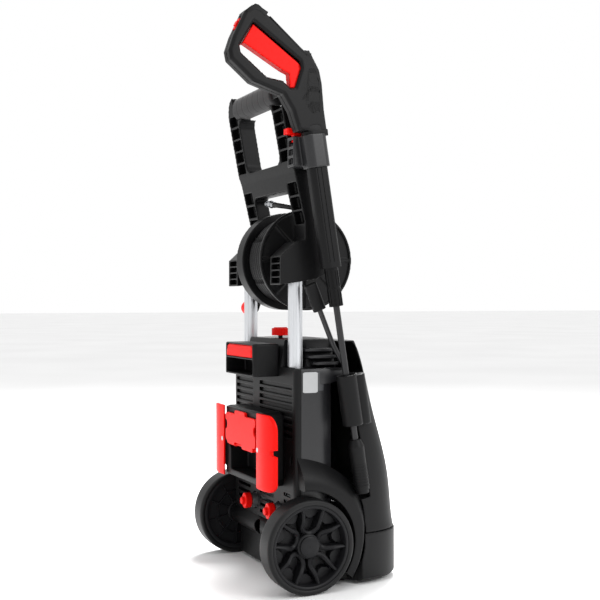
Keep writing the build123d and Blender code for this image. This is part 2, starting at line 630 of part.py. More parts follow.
def handle_frame():
    """Moulded handle: legs, crossbar, top bar and tube sockets in one piece."""
    lean = side_slab(leg_profile(), -HANDLE_HALF - 1, HANDLE_HALF + 1)
    frame = front_slab(handle_face(), -60, 120) & lean
    frame += sockets()
    inner = HANDLE_HALF - LEG_W
    for k in range(5):
        z = 734 + 22 * k
        pocket = Pos(0, 38 + 0.2 * (z - 723) + 9, z) * Rot(-12, 0, 0) * Pos((inner + HANDLE_HALF) / 2, -16, 0)
        frame -= both(pocket * Box(LEG_W - 8, 20, 18.5))
    for k in range(3):
        z = 628 + 25 * k
        pocket = Pos(0, 12 + 0.235 * (z - 622) + 9, z) * Rot(-13, 0, 0) * Pos((inner + HANDLE_HALF) / 2, -15, 0)
        frame -= both(pocket * Box(LEG_W - 8, 18, 21))
    frame -= both(Pos(TUBE_X, TUBE_Y, 480) * Cylinder(TUBE_R, 2 * (TUBE_Z1 - 480)))
    frame -= rod_x(-HANDLE_HALF + 8, HANDLE_HALF + 2, REEL_Y, REEL_Z, REEL_AXLE_R + FIT_GAP)
    frame -= grip_space(0)
    return frame.solids().sort_by(SortBy.VOLUME)[-1]


def grip_core():
    """Bar that carries the soft grip."""
    return side_slab([(37, 836), (39, 860), (57, 860), (54, 836)], -GRIP_HALF - 1, GRIP_HALF + 1)


def grip_space(grow):
    """Space that the soft grip fills round the top bar."""
    under = HANDLE_TOP - GRIP_H
    outer = side_slab([(24 - grow, under - grow), (29 - grow, HANDLE_TOP + grow), (68 + grow, HANDLE_TOP + grow),
                       (62 + grow, under - grow)], -GRIP_HALF, GRIP_HALF)
    return outer - grip_core()


def handle_grip():
    """Soft sleeve round the top bar, in raised segments."""
    under = HANDLE_TOP - GRIP_H
    sleeve = side_slab([(27, under), (31, HANDLE_TOP), (66, HANDLE_TOP), (61, under)], -GRIP_HALF, GRIP_HALF)
    sleeve = fillet(sleeve.edges().filter_by(Axis.X), 9)
    for k in range(6):
        x = -62.5 + 25 * k
        ring = side_slab([(20, 820), (20, 880), (76, 880), (76, 820)], x - 1, x + 1)
        core = side_slab([(28, under + 1), (32, HANDLE_TOP - 1), (65, HANDLE_TOP - 1), (60, under + 1)], x - 2, x + 2)
        sleeve -= ring - core
    return sleeve - grip_core()


def sleeve_face(grow):
    """Cross-section of the gun's barrel sleeve, grown by a clearance."""
    return RectangleRounded(2 * (SLEEVE_HALF_X + grow), 2 * (SLEEVE_HALF_Y + grow), 12 + grow)


def gun_clip():
    """Band on the left leg that the gun's barrel sleeve drops through."""
    z0, z1 = 710, 765
    mid = (z0 + z1) / 2
    band = lance_place(mid) * (Pos(0, 0, -27.5) * extrude(RectangleRounded(38, 41, 13), 55))
    arm = block(-146, -HANDLE_HALF, 0, 46, z0 + 2, z1 - 2)
    hole = lance_place(mid) * (Pos(0, 0, -60) * extrude(sleeve_face(PART_GAP), 120))
    body = band + arm - hole
    for k in range(3):
        body -= block(-142, -125, 40, 50, z0 + 7 + 15 * k, z0 + 17 + 15 * k)
    body -= side_slab(leg_profile(), -HANDLE_HALF, HANDLE_HALF)
    return body - block(-138.5, -123.5, 26, 42.4, z1 - 12, z1 + 4)


def clip_button():
    """Release button on top of the gun clip."""
    stem = block(-137, -125, 28, 41, 755, 768)
    cap = soft_block(-139.5, -121, 26, 54, 767.4, 777, 2.5, Axis.Z)
    return stem + cap


# ---------------------------------------------------------------- hose reel
def reel_flange(side):
    """Dished flange with a rolled rim and radial ribs; the right one is the deeper dish."""
    x0 = REEL_RIGHT_X if side > 0 else REEL_LEFT_X
    x1 = x0 + 3.5
    rim = rod_x(x0, REEL_RIM_X, REEL_Y, REEL_Z, REEL_R) - rod_x(x1, REEL_RIM_X + 1, REEL_Y, REEL_Z, REEL_R - 4)
    body = rim + rod_x(x0, REEL_RIM_X + 4, REEL_Y, REEL_Z, 26)
    ring = rod_x(x1 - 1, REEL_RIM_X - 1, REEL_Y, REEL_Z, REEL_R - 2)
    for k in range(8):
        rib = Pos((x1 + REEL_RIM_X - 2) / 2, REEL_Y, REEL_Z) * Rot(45 * k, 0, 0) * Pos(0, 0, 55)
        body += rib * Box(REEL_RIM_X - x1, 4, 66) & ring
    body -= rod_x(x0 - 1, REEL_RIM_X + 10, REEL_Y, REEL_Z, REEL_AXLE_R)
    return body if side > 0 else mirror(body, about=Plane.YZ)


def reel_core():
    """Drum that the hose is wound on."""
    drum = rod_x(-REEL_LEFT_X, REEL_RIGHT_X, REEL_Y, REEL_Z, REEL_CORE_R)
    return drum - rod_x(-REEL_LEFT_X - 1, REEL_RIGHT_X + 1, REEL_Y, REEL_Z, REEL_AXLE_R)


def hose_winding():
    """Outer shape of the wound hose, with a groove between neighbouring turns."""
    x0, x1 = -REEL_LEFT_X + PART_GAP, REEL_RIGHT_X - PART_GAP
    turns = int((x1 - x0) // (2 * HOSE_R))
    pitch = (x1 - x0) / turns
    pack = rod_x(x0, x1, REEL_Y, REEL_Z, WIND_R - 1.5)
    for k in range(turns):
        c = x0 + pitch * (k + 0.5)
        pack += rod_x(c - pitch * 0.36, c + pitch * 0.36, REEL_Y, REEL_Z, WIND_R)
    return pack - rod_x(x0 - 1, x1 + 1, REEL_Y, REEL_Z, REEL_CORE_R)


def reel_axle():
    """Steel shaft that turns with the reel and carries the crank."""
    return rod_x(-HANDLE_HALF + 12, CRANK_X + CRANK_W, REEL_Y, REEL_Z, REEL_AXLE_R)


def crank_end():
    """Centre of the crank knob in Y and Z."""
    a = math.radians(-74)
    return REEL_Y + CRANK_R * math.cos(a), REEL_Z + CRANK_R * math.sin(a)


def crank_arm():
    """Crank outboard of the right leg, with the knob's pin."""
    y, z = crank_end()
    face = make_hull((Pos(REEL_Y, REEL_Z) * Circle(17) + Pos(y, z) * Circle(10)).edges())
    arm = extrude(Plane.YZ.offset(CRANK_X) * face, CRANK_W)
    arm = chamfer(arm.edges().group_by(Axis.X)[-1], 1.5)
    pin = rod_x(CRANK_X + 1, CRANK_X + CRANK_W + KNOB_L - 3, y, z, 4)
    return arm + pin - rod_x(CRANK_X - 1, CRANK_X + CRANK_W + 0.01, REEL_Y, REEL_Z, REEL_AXLE_R)


def crank_knob():
    """Turning knob on the crank pin."""
    y, z = crank_end()
    x0 = CRANK_X + CRANK_W + PART_GAP
    knob = rod_x(x0, x0 + KNOB_L, y, z, KNOB_R)
    knob = fillet(knob.edges().filter_by(GeomType.CIRCLE), 4)
    return knob - rod_x(x0 - 1, x0 + KNOB_L - 3, y, z, 4 + FIT_GAP)


# Free end of the hose: route from the winding up into the gap under the crossbar, ending at its fitting.
HOSE_TAIL = [(-42, -54, 638.5), (-42, -35, 647), (-37, -19.7, 652), (-27.4, -6.5, 655.5),
             (-14.3, 3, 658.4), (1.2, 8.1, 660.7), (16.4, 8.4, 663)]
FITTING_L = 34.0


def tail_radii():
    """Arc radius at each inner point of the hose's route."""
    pts = [Vector(*p) for p in HOSE_TAIL]
    radii = []
    for a, b, c in zip(pts, pts[1:], pts[2:]):
        turn = (b - a).get_angle(c - b)
        run = min((b - a).length, (c - b).length)
        radii.append(0.45 * run / math.tan(math.radians(turn / 2)))
    return radii


def hose_tail():
    """Free end of the hose, in straight runs and tangent arcs."""
    radii = tail_radii()
    print("hose tail radii", [round(r, 1) for r in radii])
    path = FilletPolyline(*HOSE_TAIL, radius=radii)
    start = Plane(origin=path @ 0, z_dir=path % 0)
    body = sweep(start * Circle(HOSE_R), path=path)
    print("hose tail length", round(path.length, 1), "volume ratio",
          round(body.volume / (math.pi * HOSE_R ** 2 * path.length), 4))
    return body


def hose_fitting():
    """Steel screw fitting on the hose's end, with a hexagon and a swivel nut."""
    a, b = Vector(*HOSE_TAIL[-2]), Vector(*HOSE_TAIL[-1])
    place = Plane(origin=b, z_dir=b - a)
    body = Pos(0, 0, 5) * Cylinder(5.6, 10) + Pos(0, 0, 14) * extrude(RegularPolygon(7, 6), 4, both=True)
    body += Pos(0, 0, 18 + (FITTING_L - 18) / 2) * Cylinder(4.6, FITTING_L - 18)
    body += Pos(0, 0, FITTING_L - 4) * Cylinder(5.8, 3)
    return place * body


# ---------------------------------------------------------------- spray gun
GUN_OUTLINE = [(41, 903), (113, 962), (126, 968), (143, 955), (163, 913), (171, 889), (168, 874), (129, 842),
               (75, 826), (58, 800), (47, 768), (-6, 768), (0, 806), (4, 850), (9, 872), (19, 889), (28, 904)]
GUN_WINDOW = [(128, 938), (152, 898), (150, 887), (104, 852), (75, 848), (62, 837), (54, 838), (43, 872), (45, 883)]
TRIGGER_PIVOT = (34, 862)


def gun_blank():
    """Outside of the gun's moulded body, with the closed grip loop."""
    body = side_slab(GUN_OUTLINE, LANCE_X - GRIP_HALF_X, LANCE_X + GRIP_HALF_X)
    body -= side_slab(GUN_WINDOW, LANCE_X - 30, LANCE_X + 30)
    return chamfer(body.edges().group_by(Axis.X)[0] + body.edges().group_by(Axis.X)[-1], 3.5)


def trigger_room():
    """Slot inside the grip that the trigger swings in."""
    pts = [(128, 938), (119, 951), (36, 891), (20, 878), (20, 846), (34, 836), (62, 837), (80, 860)]
    return side_slab(pts, LANCE_X - 8.6, LANCE_X + 8.6)


def gun_shell(side):
    """Left (-1) or right (+1) half of the gun body, parted on the lance plane."""
    body = gun_blank() - trigger_room() - lock_slot()
    body -= rod_x(LANCE_X - 11, LANCE_X + 11, *TRIGGER_PIVOT, 3)
    body -= lance_rod(740, 842, 8.8)
    body -= lance_place((SLEEVE_Z[0] + SLEEVE_Z[1]) / 2) * (Pos(0, 0, -160) * extrude(sleeve_face(0), 283))
    half = block(LANCE_X, LANCE_X + side * 60, -100, 250, 700, 1000)
    return (body & half).solids().sort_by(SortBy.VOLUME)[-1]


def barrel_sleeve():
    """Long fluted sleeve round the barrel."""
    z0, z1 = SLEEVE_Z
    mid = (z0 + z1) / 2
    length = (z1 - z0) / math.cos(math.radians(LANCE_LEAN))
    body = Pos(0, 0, -length / 2) * extrude(sleeve_face(0), length)
    for y in (-8, 0, 8):
        for side in (-1, 1):
            body -= Pos(side * (SLEEVE_HALF_X + 0.6), y, -20) * Box(3, 2.6, length - 60)
    body -= Cylinder(9, length + 2)
    return lance_place(mid) * body


def gun_valve():
    """Brass valve body and barrel tube inside the gun."""
    return lance_rod(545, 838, 8.8)


def trigger():
    """Long trigger on a pin, with its free end at the back of the loop."""
    pts = [(127, 936), (46, 881), (36, 872), (27, 864), (32, 853), (52, 839), (61, 838.5), (62, 862), (75, 867), (142, 903.5),
           (146.5, 902)]
    body = side_slab(pts, LANCE_X - 8, LANCE_X + 8)
    body += rod_x(LANCE_X - 8, LANCE_X + 8, *TRIGGER_PIVOT, 8)
    body = body & side_slab([(127, 937), (46, 882), (20, 870), (20, 846), (52, 838), (64, 838), (64, 861), (75, 866),
                             (143, 903), (147, 901)], LANCE_X - 9, LANCE_X + 9)
    return body - rod_x(LANCE_X - 12, LANCE_X + 12, *TRIGGER_PIVOT, 3 + FIT_GAP)


def trigger_pin():
    """Pin of the trigger."""
    return rod_x(LANCE_X - 11, LANCE_X + 11, *TRIGGER_PIVOT, 3)


def lock_slot():
    """Slot for the trigger lock in the back of the loop."""
    return lock_place() * Box(9.6, 8.2, 27)


def lock_place():
    return Pos(LANCE_X, 151, 936) * Rot(26, 0, 0)


def trigger_lock():
    """Sliding lock at the back of the grip loop."""
    body = lock_place() * (Pos(0, -1, -2) * Box(9, 5.5, 20))
    body += lock_place() * (Pos(0, 2.2, -2) * Box(9, 3, 8))
    return body


def lance_collar():
    """Fluted bayonet collar between gun and lance."""
    body = lance_rod(*COLLAR_Z, COLLAR_R)
    body -= lance_rod(508, 511, COLLAR_R + 2) - lance_rod(507, 512, COLLAR_R - 1)
    length = 27
    for k in range(12):
        for z in (493, 525):
            body -= lance_place(z) * Rot(0, 0, 30 * k) * Pos(COLLAR_R + 0.4, 0, 0) * Box(2.6, 2.6, length)
    return body - lance_rod(470, 540, ROD_R)


def lance_tube():
    """Lance pipe from the collar to the nozzle."""
    return lance_rod(NOZZLE_TOP - 22, 534, ROD_R)


def turbo_nozzle():
    """Rotary nozzle: tapered shell with a gripping band of ribs and a flared mouth."""
    low = LANCE_FOOT[1]
    body = lance_rod(low + 6, NOZZLE_TOP - 12, NOZZLE_R - 1.2, NOZZLE_R - 0.4)
    body += lance_rod(NOZZLE_TOP - 12, NOZZLE_TOP, NOZZLE_R - 0.4, 9)
    body += lance_rod(low, low + 8, NOZZLE_R - 3)
    for k in range(8):
        body += lance_rod(low + 12 + 5 * k, low + 14 + 5 * k, NOZZLE_R - 0.2)
    body -= lance_rod(low - 1, low + 12, 6)
    return body - lance_rod(NOZZLE_TOP - 30, NOZZLE_TOP + 2, ROD_R + FIT_GAP)


def spare_lance_tube():
    """Spare lance: bent steel pipe, parked in the front socket."""
    pts = [(SPARE_X, y, z) for y, z in SPARE_PATH]
    path = FilletPolyline(*pts, radius=[60, 60])
    start = Plane(origin=path @ 0, z_dir=path % 0)
    return sweep(start * Circle(SPARE_ROD_R), path=path)


def spare_lance_collar():
    """Flat-sided bayonet fitting on the spare lance's end."""
    y0, z0 = SPARE_PATH[0]
    y1, z1 = SPARE_PATH[1]
    lean = -math.degrees(math.atan2(y0 - y1, z0 - z1))
    body = Pos(SPARE_X, y0, z0) * Rot(lean, 0, 0) * extrude(RectangleRounded(15.5, 23, 7), 24, both=True)
    return body - spare_lance_tube()


def screws():
    """Two screws that hold the cable hooks."""
    shank = rod_y(HOOK_X[0], HOLDER_REAR - 10, HOOK_REAR - 0.4, hook_mid(), 2.15)
    return both(shank + rod_y(HOOK_X[0], HOOK_REAR - 2.3, HOOK_REAR - 0.3, hook_mid(), 4.1))


# ---------------------------------------------------------------- write every sub-part
def main():
    wheel_shape, tyre_shape, cap_shape = wheel(), tyre(), hub_cap()
    for name, side in (("left", -1), ("right", 1)):
        save(f"wheel_{name}", wheel_place(side) * wheel_shape)
        save(f"tyre_{name}", wheel_place(side) * tyre_shape)
        save(f"hub_cap_{name}", wheel_place(side) * cap_shape)
        save(f"fender_{name}", fender(side))
        save(f"side_panel_{name}", side_panel(side))
        save(f"cable_hook_{name}", cable_hook(side))
        save(f"tube_{name}", tube(side))
        save(f"reel_flange_{name}", reel_flange(side))
        save(f"gun_shell_{name}", gun_shell(side))
    save("axle", axle())
    save("axle_housing", axle_housing())
    save("base_tray", base_tray())
    save("feet", feet())
    save("front_cover", front_cover())
    save("rear_cover", rear_cover())
    save("top_deck", top_deck())
    save("lift_handle", lift_handle())
    save("lift_lip", lift_lip())
    save("holder_box", holder_box())
    save("holder_cover", holder_cover())
    save("holster", holster())
    save("inlet_plug", plug(PLUG_X[0]))
    save("outlet_plug", plug(PLUG_X[1]))
    save("motor", motor())
    save("cooling_fan", cooling_fan())
    save("pump", pump())
    save("switch_box", switch_box())
    save("switch_knob", switch_knob())
    save("cable_gland", cable_gland())
    save("handle_frame", handle_frame())
    save("handle_grip", handle_grip())
    save("gun_clip", gun_clip())
    save("clip_button", clip_button())
    save("reel_core", reel_core())
    save("hose_winding", hose_winding())
    save("reel_axle", reel_axle())
    save("crank_arm", crank_arm())
    save("crank_knob", crank_knob())
    save("hose_tail", hose_tail())
    save("hose_fitting", hose_fitting())
    save("barrel_sleeve", barrel_sleeve())
    save("gun_valve", gun_valve())
    save("trigger", trigger())
    save("trigger_pin", trigger_pin())
    save("trigger_lock", trigger_lock())
    save("lance_collar", lance_collar())
    save("lance_tube", lance_tube())
    save("turbo_nozzle", turbo_nozzle())
    save("spare_lance_tube", spare_lance_tube())
    save("spare_lance_collar", spare_lance_collar())
    save("screws", screws())


main()
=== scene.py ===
"""Looks of an upright pressure washer: moulded shells, spoked wheels, wound hose, soft grip and studio.

Metres, in the row frame: +Z up, +Y the user's side, -X the side that carries the spray gun.
"""

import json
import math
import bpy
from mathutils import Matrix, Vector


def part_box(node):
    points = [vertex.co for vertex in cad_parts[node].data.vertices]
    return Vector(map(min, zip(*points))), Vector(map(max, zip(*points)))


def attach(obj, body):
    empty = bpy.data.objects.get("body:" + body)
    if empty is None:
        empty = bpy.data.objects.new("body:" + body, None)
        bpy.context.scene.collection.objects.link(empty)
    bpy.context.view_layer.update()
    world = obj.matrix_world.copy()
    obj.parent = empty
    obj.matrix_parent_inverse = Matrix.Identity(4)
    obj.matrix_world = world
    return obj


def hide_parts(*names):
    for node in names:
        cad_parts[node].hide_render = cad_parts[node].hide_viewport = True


bl_info = {
    "name": "Upright Pressure Washer",
    "version": (1, 0, 0),
    "blender": (4, 5, 0),
    "location": "3D View > Sidebar > Washer",
    "description": "Builds the visible pieces and materials of an upright pressure washer",
    "category": "Object",
}

import bmesh
import bpy
from mathutils import Vector

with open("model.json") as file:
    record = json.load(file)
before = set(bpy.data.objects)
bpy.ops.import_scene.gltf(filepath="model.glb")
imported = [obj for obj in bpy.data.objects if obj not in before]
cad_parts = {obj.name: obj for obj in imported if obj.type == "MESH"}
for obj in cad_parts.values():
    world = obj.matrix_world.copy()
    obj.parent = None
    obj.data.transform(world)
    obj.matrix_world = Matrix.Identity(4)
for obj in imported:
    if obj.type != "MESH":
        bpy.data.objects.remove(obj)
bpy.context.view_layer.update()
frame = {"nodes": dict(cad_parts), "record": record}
BODY_OF = {n: b for b, ns in frame["record"]["behaviour"]["bodies"].items() for n in ns}
SLOT_OF = {s["node"]: s["material_slot"] for s in frame["record"]["subparts"]}
MM = 0.001

WHEEL_LOW, WHEEL_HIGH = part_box("tyre_left")
AXLE_Y = (WHEEL_LOW.y + WHEEL_HIGH.y) / 2
AXLE_Z = (WHEEL_LOW.z + WHEEL_HIGH.z) / 2
PANEL_LOW, PANEL_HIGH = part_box("side_panel_right")
FENDER_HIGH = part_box("fender_right")[1]
WIND_LOW, WIND_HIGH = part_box("hose_winding")
CORE_LOW, CORE_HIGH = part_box("reel_core")
GRIP_LOW, GRIP_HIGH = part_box("handle_grip")


# ---------------------------------------------------------------- colours and materials
def linear(code):
    """Turns an sRGB hex code into linear red, green and blue."""
    parts = [int(code[i:i + 2], 16) / 255 for i in (1, 3, 5)]
    return tuple(c / 12.92 if c <= 0.04045 else ((c + 0.055) / 1.055) ** 2.4 for c in parts)


def add(tree, kind, inputs=None, links=None, stops=(), feeds=None):
    """Adds a node with its input values, a ramp's (position, colour) stops, and its links in and out."""
    node = tree.nodes.new(kind)
    for key, value in (inputs or {}).items():
        node.inputs[key].default_value = value
    for k, (position, colour) in enumerate(stops):
        node.color_ramp.elements[k].position = position
        node.color_ramp.elements[k].color = (*colour, 1)
    for key, socket in (links or {}).items():
        tree.links.new(socket, node.inputs[key])
    for key, socket in (feeds or {}).items():
        tree.links.new(node.outputs[key], socket)
    return node


def start_material(name, **values):
    """Makes a material and returns it with its tree, its shader and object coordinates in metres."""
    material = bpy.data.materials.new(name)
    material.use_nodes = True
    tree = material.node_tree
    shader = tree.nodes["Principled BSDF"]
    for key, value in values.items():
        shader.inputs[key.replace("_", " ")].default_value = value
    place = add(tree, "ShaderNodeTexCoord").outputs["Object"]
    return material, tree, shader, place


def per_metre(size_mm):
    """Texture scale whose features are about size_mm across."""
    return 1 / (size_mm * MM)


def shade(colour, factor):
    """A linear colour made darker or lighter."""
    return tuple(min(1.0, c * factor) for c in colour)


def two_tones(colour, dark, light):
    """Ramp stops that spread a pattern between a darker and a lighter tone of a colour."""
    return (0.3, shade(colour, dark)), (0.7, shade(colour, light))


PAPER_DARK = (0.86, 0.86, 0.86)
PAPER_LIGHT = (0.9, 0.9, 0.9)


def spark_grained_polypropylene(name, colour, roughness=0.44, gloss=0.18):
    """Polypropylene moulded in a spark-eroded tool: a dull, finely pebbled skin with faint flow clouds."""
    material, tree, shader, place = start_material(name, IOR=1.49, Roughness=roughness,
                                                    Specular_IOR_Level=gloss)
    clouds = add(tree, "ShaderNodeTexNoise", {"Scale": per_metre(90), "Detail": 3}, {"Vector": place})
    add(tree, "ShaderNodeValToRGB", None, {"Fac": clouds.outputs["Fac"]}, two_tones(colour, 0.93, 1.07),
        {"Color": shader.inputs["Base Color"]})
    # the real pebble is 0.3 mm wide; it is drawn at 1.6 mm so that it shows
    grain = add(tree, "ShaderNodeTexNoise", {"Scale": per_metre(1.6), "Detail": 1}, {"Vector": place})
    add(tree, "ShaderNodeMapRange", {"To Min": roughness - 0.06, "To Max": roughness + 0.08},
        {"Value": grain.outputs["Fac"]}, feeds={"Result": shader.inputs["Roughness"]})
    add(tree, "ShaderNodeBump", {"Strength": 0.5, "Distance": 0.06 * MM}, {"Height": grain.outputs["Fac"]},
        feeds={"Normal": shader.inputs["Normal"]})
    return material


def glass_filled_nylon(name, colour):
    """Black glass-filled nylon, moulded: dense satin surface with short fibre streaks."""
    material, tree, shader, place = start_material(name, IOR=1.53, Roughness=0.36, Specular_IOR_Level=0.16)
    drawn = add(tree, "ShaderNodeMapping", {"Scale": (1, 1, 0.25)}, {"Vector": place})
    fibres = add(tree, "ShaderNodeTexNoise", {"Scale": per_metre(4), "Detail": 3, "Roughness": 0.6},
        {"Vector": drawn.outputs["Vector"]})
    add(tree, "ShaderNodeValToRGB", None, {"Fac": fibres.outputs["Fac"]}, two_tones(colour, 0.8, 1.25),
        {"Color": shader.inputs["Base Color"]})
    add(tree, "ShaderNodeMapRange", {"To Min": 0.36, "To Max": 0.5}, {"Value": fibres.outputs["Fac"]},
        feeds={"Result": shader.inputs["Roughness"]})
    add(tree, "ShaderNodeBump", {"Strength": 0.4, "Distance": 0.05 * MM}, {"Height": fibres.outputs["Fac"]},
        feeds={"Normal": shader.inputs["Normal"]})
    return material


def self_coloured_abs(name, colour):
    """Self-coloured ABS, moulded in a polished tool: even strong colour, soft gloss, slight orange peel."""
    material, tree, shader, place = start_material(name, IOR=1.53, Roughness=0.34, Specular_IOR_Level=0.08)
    flow = add(tree, "ShaderNodeTexNoise", {"Scale": per_metre(45), "Detail": 2}, {"Vector": place})
    add(tree, "ShaderNodeValToRGB", None, {"Fac": flow.outputs["Fac"]}, two_tones(colour, 0.96, 1.04),
        {"Color": shader.inputs["Base Color"]})
    peel = add(tree, "ShaderNodeTexNoise", {"Scale": per_metre(5), "Detail": 1}, {"Vector": place})
    add(tree, "ShaderNodeMapRange", {"To Min": 0.3, "To Max": 0.4}, {"Value": peel.outputs["Fac"]},
        feeds={"Result": shader.inputs["Roughness"]})
    add(tree, "ShaderNodeBump", {"Strength": 0.35, "Distance": 0.04 * MM}, {"Height": peel.outputs["Fac"]},
        feeds={"Normal": shader.inputs["Normal"]})
    return material


def anodised_extrusion(name, colour):
    """Anodised aluminium, extruded: bright metal with fine draw lines along its length."""
    material, tree, shader, place = start_material(name, Metallic=1.0, Roughness=0.3)
    # draw lines are 0.1 mm apart on the real tube; they are drawn 1.2 mm apart
    drawn = add(tree, "ShaderNodeMapping", {"Scale": (1, 1, 0.01)}, {"Vector": place})
    lines = add(tree, "ShaderNodeTexNoise", {"Scale": per_metre(1.2), "Detail": 2, "Roughness": 0.6},
        {"Vector": drawn.outputs["Vector"]})
    add(tree, "ShaderNodeValToRGB", None, {"Fac": lines.outputs["Fac"]}, two_tones(colour, 0.94, 1.04),
        {"Color": shader.inputs["Base Color"]})
    add(tree, "ShaderNodeMapRange", {"To Min": 0.26, "To Max": 0.38}, {"Value": lines.outputs["Fac"]},
        feeds={"Result": shader.inputs["Roughness"]})
    add(tree, "ShaderNodeBump", {"Strength": 0.3, "Distance": 0.02 * MM}, {"Height": lines.outputs["Fac"]},
        feeds={"Normal": shader.inputs["Normal"]})
    return material


def turned_metal(name, colour):
    """Bright turned metal: tool rings across the bar that break up the reflections."""
    material, tree, shader, place = start_material(name, Metallic=1.0, Roughness=0.25)
    drawn = add(tree, "ShaderNodeMapping", {"Scale": (1, 0.05, 0.05)}, {"Vector": place})
    rings = add(tree, "ShaderNodeTexNoise", {"Scale": per_metre(0.9), "Detail": 1, "Roughness": 0.5},
        {"Vector": drawn.outputs["Vector"]})
    add(tree, "ShaderNodeValToRGB", None, {"Fac": rings.outputs["Fac"]}, two_tones(colour, 0.85, 1.05),
        {"Color": shader.inputs["Base Color"]})
    add(tree, "ShaderNodeMapRange", {"To Min": 0.2, "To Max": 0.34}, {"Value": rings.outputs["Fac"]},
        feeds={"Result": shader.inputs["Roughness"]})
    return material


def die_cast_metal(name, colour):
    """Die-cast or plated metal as it leaves the mould: dull, with a fine pebbled skin."""
    material, tree, shader, place = start_material(name, Metallic=1.0, Roughness=0.5)
    skin = add(tree, "ShaderNodeTexNoise", {"Scale": per_metre(2.2), "Detail": 3}, {"Vector": place})
    add(tree, "ShaderNodeValToRGB", None, {"Fac": skin.outputs["Fac"]}, two_tones(colour, 0.85, 1.08),
        {"Color": shader.inputs["Base Color"]})
    add(tree, "ShaderNodeMapRange", {"To Min": 0.42, "To Max": 0.6}, {"Value": skin.outputs["Fac"]},
        feeds={"Result": shader.inputs["Roughness"]})
    add(tree, "ShaderNodeBump", {"Strength": 0.5, "Distance": 0.1 * MM}, {"Height": skin.outputs["Fac"]},
        feeds={"Normal": shader.inputs["Normal"]})
    return material


def coated_steel_pipe(name, colour):
    """Electro-coated steel pipe: a dark, even, slightly glossy film over drawn steel."""
    material, tree, shader, place = start_material(name, IOR=1.5, Roughness=0.36, Specular_IOR_Level=0.3,
                                                    Coat_Weight=0.25, Coat_Roughness=0.2)
    drawn = add(tree, "ShaderNodeMapping", {"Scale": (1, 1, 0.1)}, {"Vector": place})
    film = add(tree, "ShaderNodeTexNoise", {"Scale": per_metre(8), "Detail": 2, "Roughness": 0.5},
        {"Vector": drawn.outputs["Vector"]})
    add(tree, "ShaderNodeValToRGB", None, {"Fac": film.outputs["Fac"]}, two_tones(colour, 0.88, 1.15),
        {"Color": shader.inputs["Base Color"]})
    add(tree, "ShaderNodeMapRange", {"To Min": 0.3, "To Max": 0.44}, {"Value": film.outputs["Fac"]},
        feeds={"Result": shader.inputs["Roughness"]})
    return material


def moulded_elastomer(name, colour, roughness=0.66):
    """Soft thermoplastic elastomer, over-moulded: matt and slightly grippy, with a velvety edge sheen."""
    material, tree, shader, place = start_material(name, IOR=1.5, Roughness=roughness, Specular_IOR_Level=0.25,
                                                    Sheen_Weight=0.12)
    clouds = add(tree, "ShaderNodeTexNoise", {"Scale": per_metre(30), "Detail": 2}, {"Vector": place})
    add(tree, "ShaderNodeValToRGB", None, {"Fac": clouds.outputs["Fac"]}, two_tones(colour, 0.92, 1.06),
        {"Color": shader.inputs["Base Color"]})
    # the real stipple is 0.4 mm; it is drawn at 1.5 mm
    stipple = add(tree, "ShaderNodeTexNoise", {"Scale": per_metre(1.5), "Detail": 1}, {"Vector": place})
    add(tree, "ShaderNodeBump", {"Strength": 0.5, "Distance": 0.08 * MM}, {"Height": stipple.outputs["Fac"]},
        feeds={"Normal": shader.inputs["Normal"]})
    return material


def high_pressure_hose(name, colour):
    """Braided high-pressure hose with a smooth extruded cover: semi-matt, faintly ribbed by its braid."""
    material, tree, shader, place = start_material(name, IOR=1.52, Roughness=0.45, Specular_IOR_Level=0.25)
    braid = add(tree, "ShaderNodeTexVoronoi", {"Scale": per_metre(2.4)}, {"Vector": place})
    add(tree, "ShaderNodeValToRGB", None, {"Fac": braid.outputs["Distance"]}, two_tones(colour, 0.88, 1.1),
        {"Color": shader.inputs["Base Color"]})
    add(tree, "ShaderNodeBump", {"Strength": 0.35, "Distance": 0.08 * MM},
        {"Height": braid.outputs["Distance"]}, feeds={"Normal": shader.inputs["Normal"]})
    return material


def blank_vinyl(name, colour):
    """Self-adhesive vinyl label with nothing printed on it: smooth, thin and slightly glossy."""
    material, tree, shader, place = start_material(name, IOR=1.5, Roughness=0.3)
    film = add(tree, "ShaderNodeTexNoise", {"Scale": per_metre(12), "Detail": 2}, {"Vector": place})
    add(tree, "ShaderNodeValToRGB", None, {"Fac": film.outputs["Fac"]}, two_tones(colour, 0.97, 1.02),
        {"Color": shader.inputs["Base Color"]})
    return material


def matt_studio_paper(name):
    """Matt white paper: even and dull, with a very faint cloudiness."""
    material, tree, shader, place = start_material(name, Roughness=0.9)
    clouds = add(tree, "ShaderNodeTexNoise", {"Scale": per_metre(900), "Detail": 1}, {"Vector": place})
    add(tree, "ShaderNodeValToRGB", None, {"Fac": clouds.outputs["Fac"]},
        ((0.3, PAPER_DARK), (0.7, PAPER_LIGHT)), {"Color": shader.inputs["Base Color"]})
    return material


FINISHES = {}


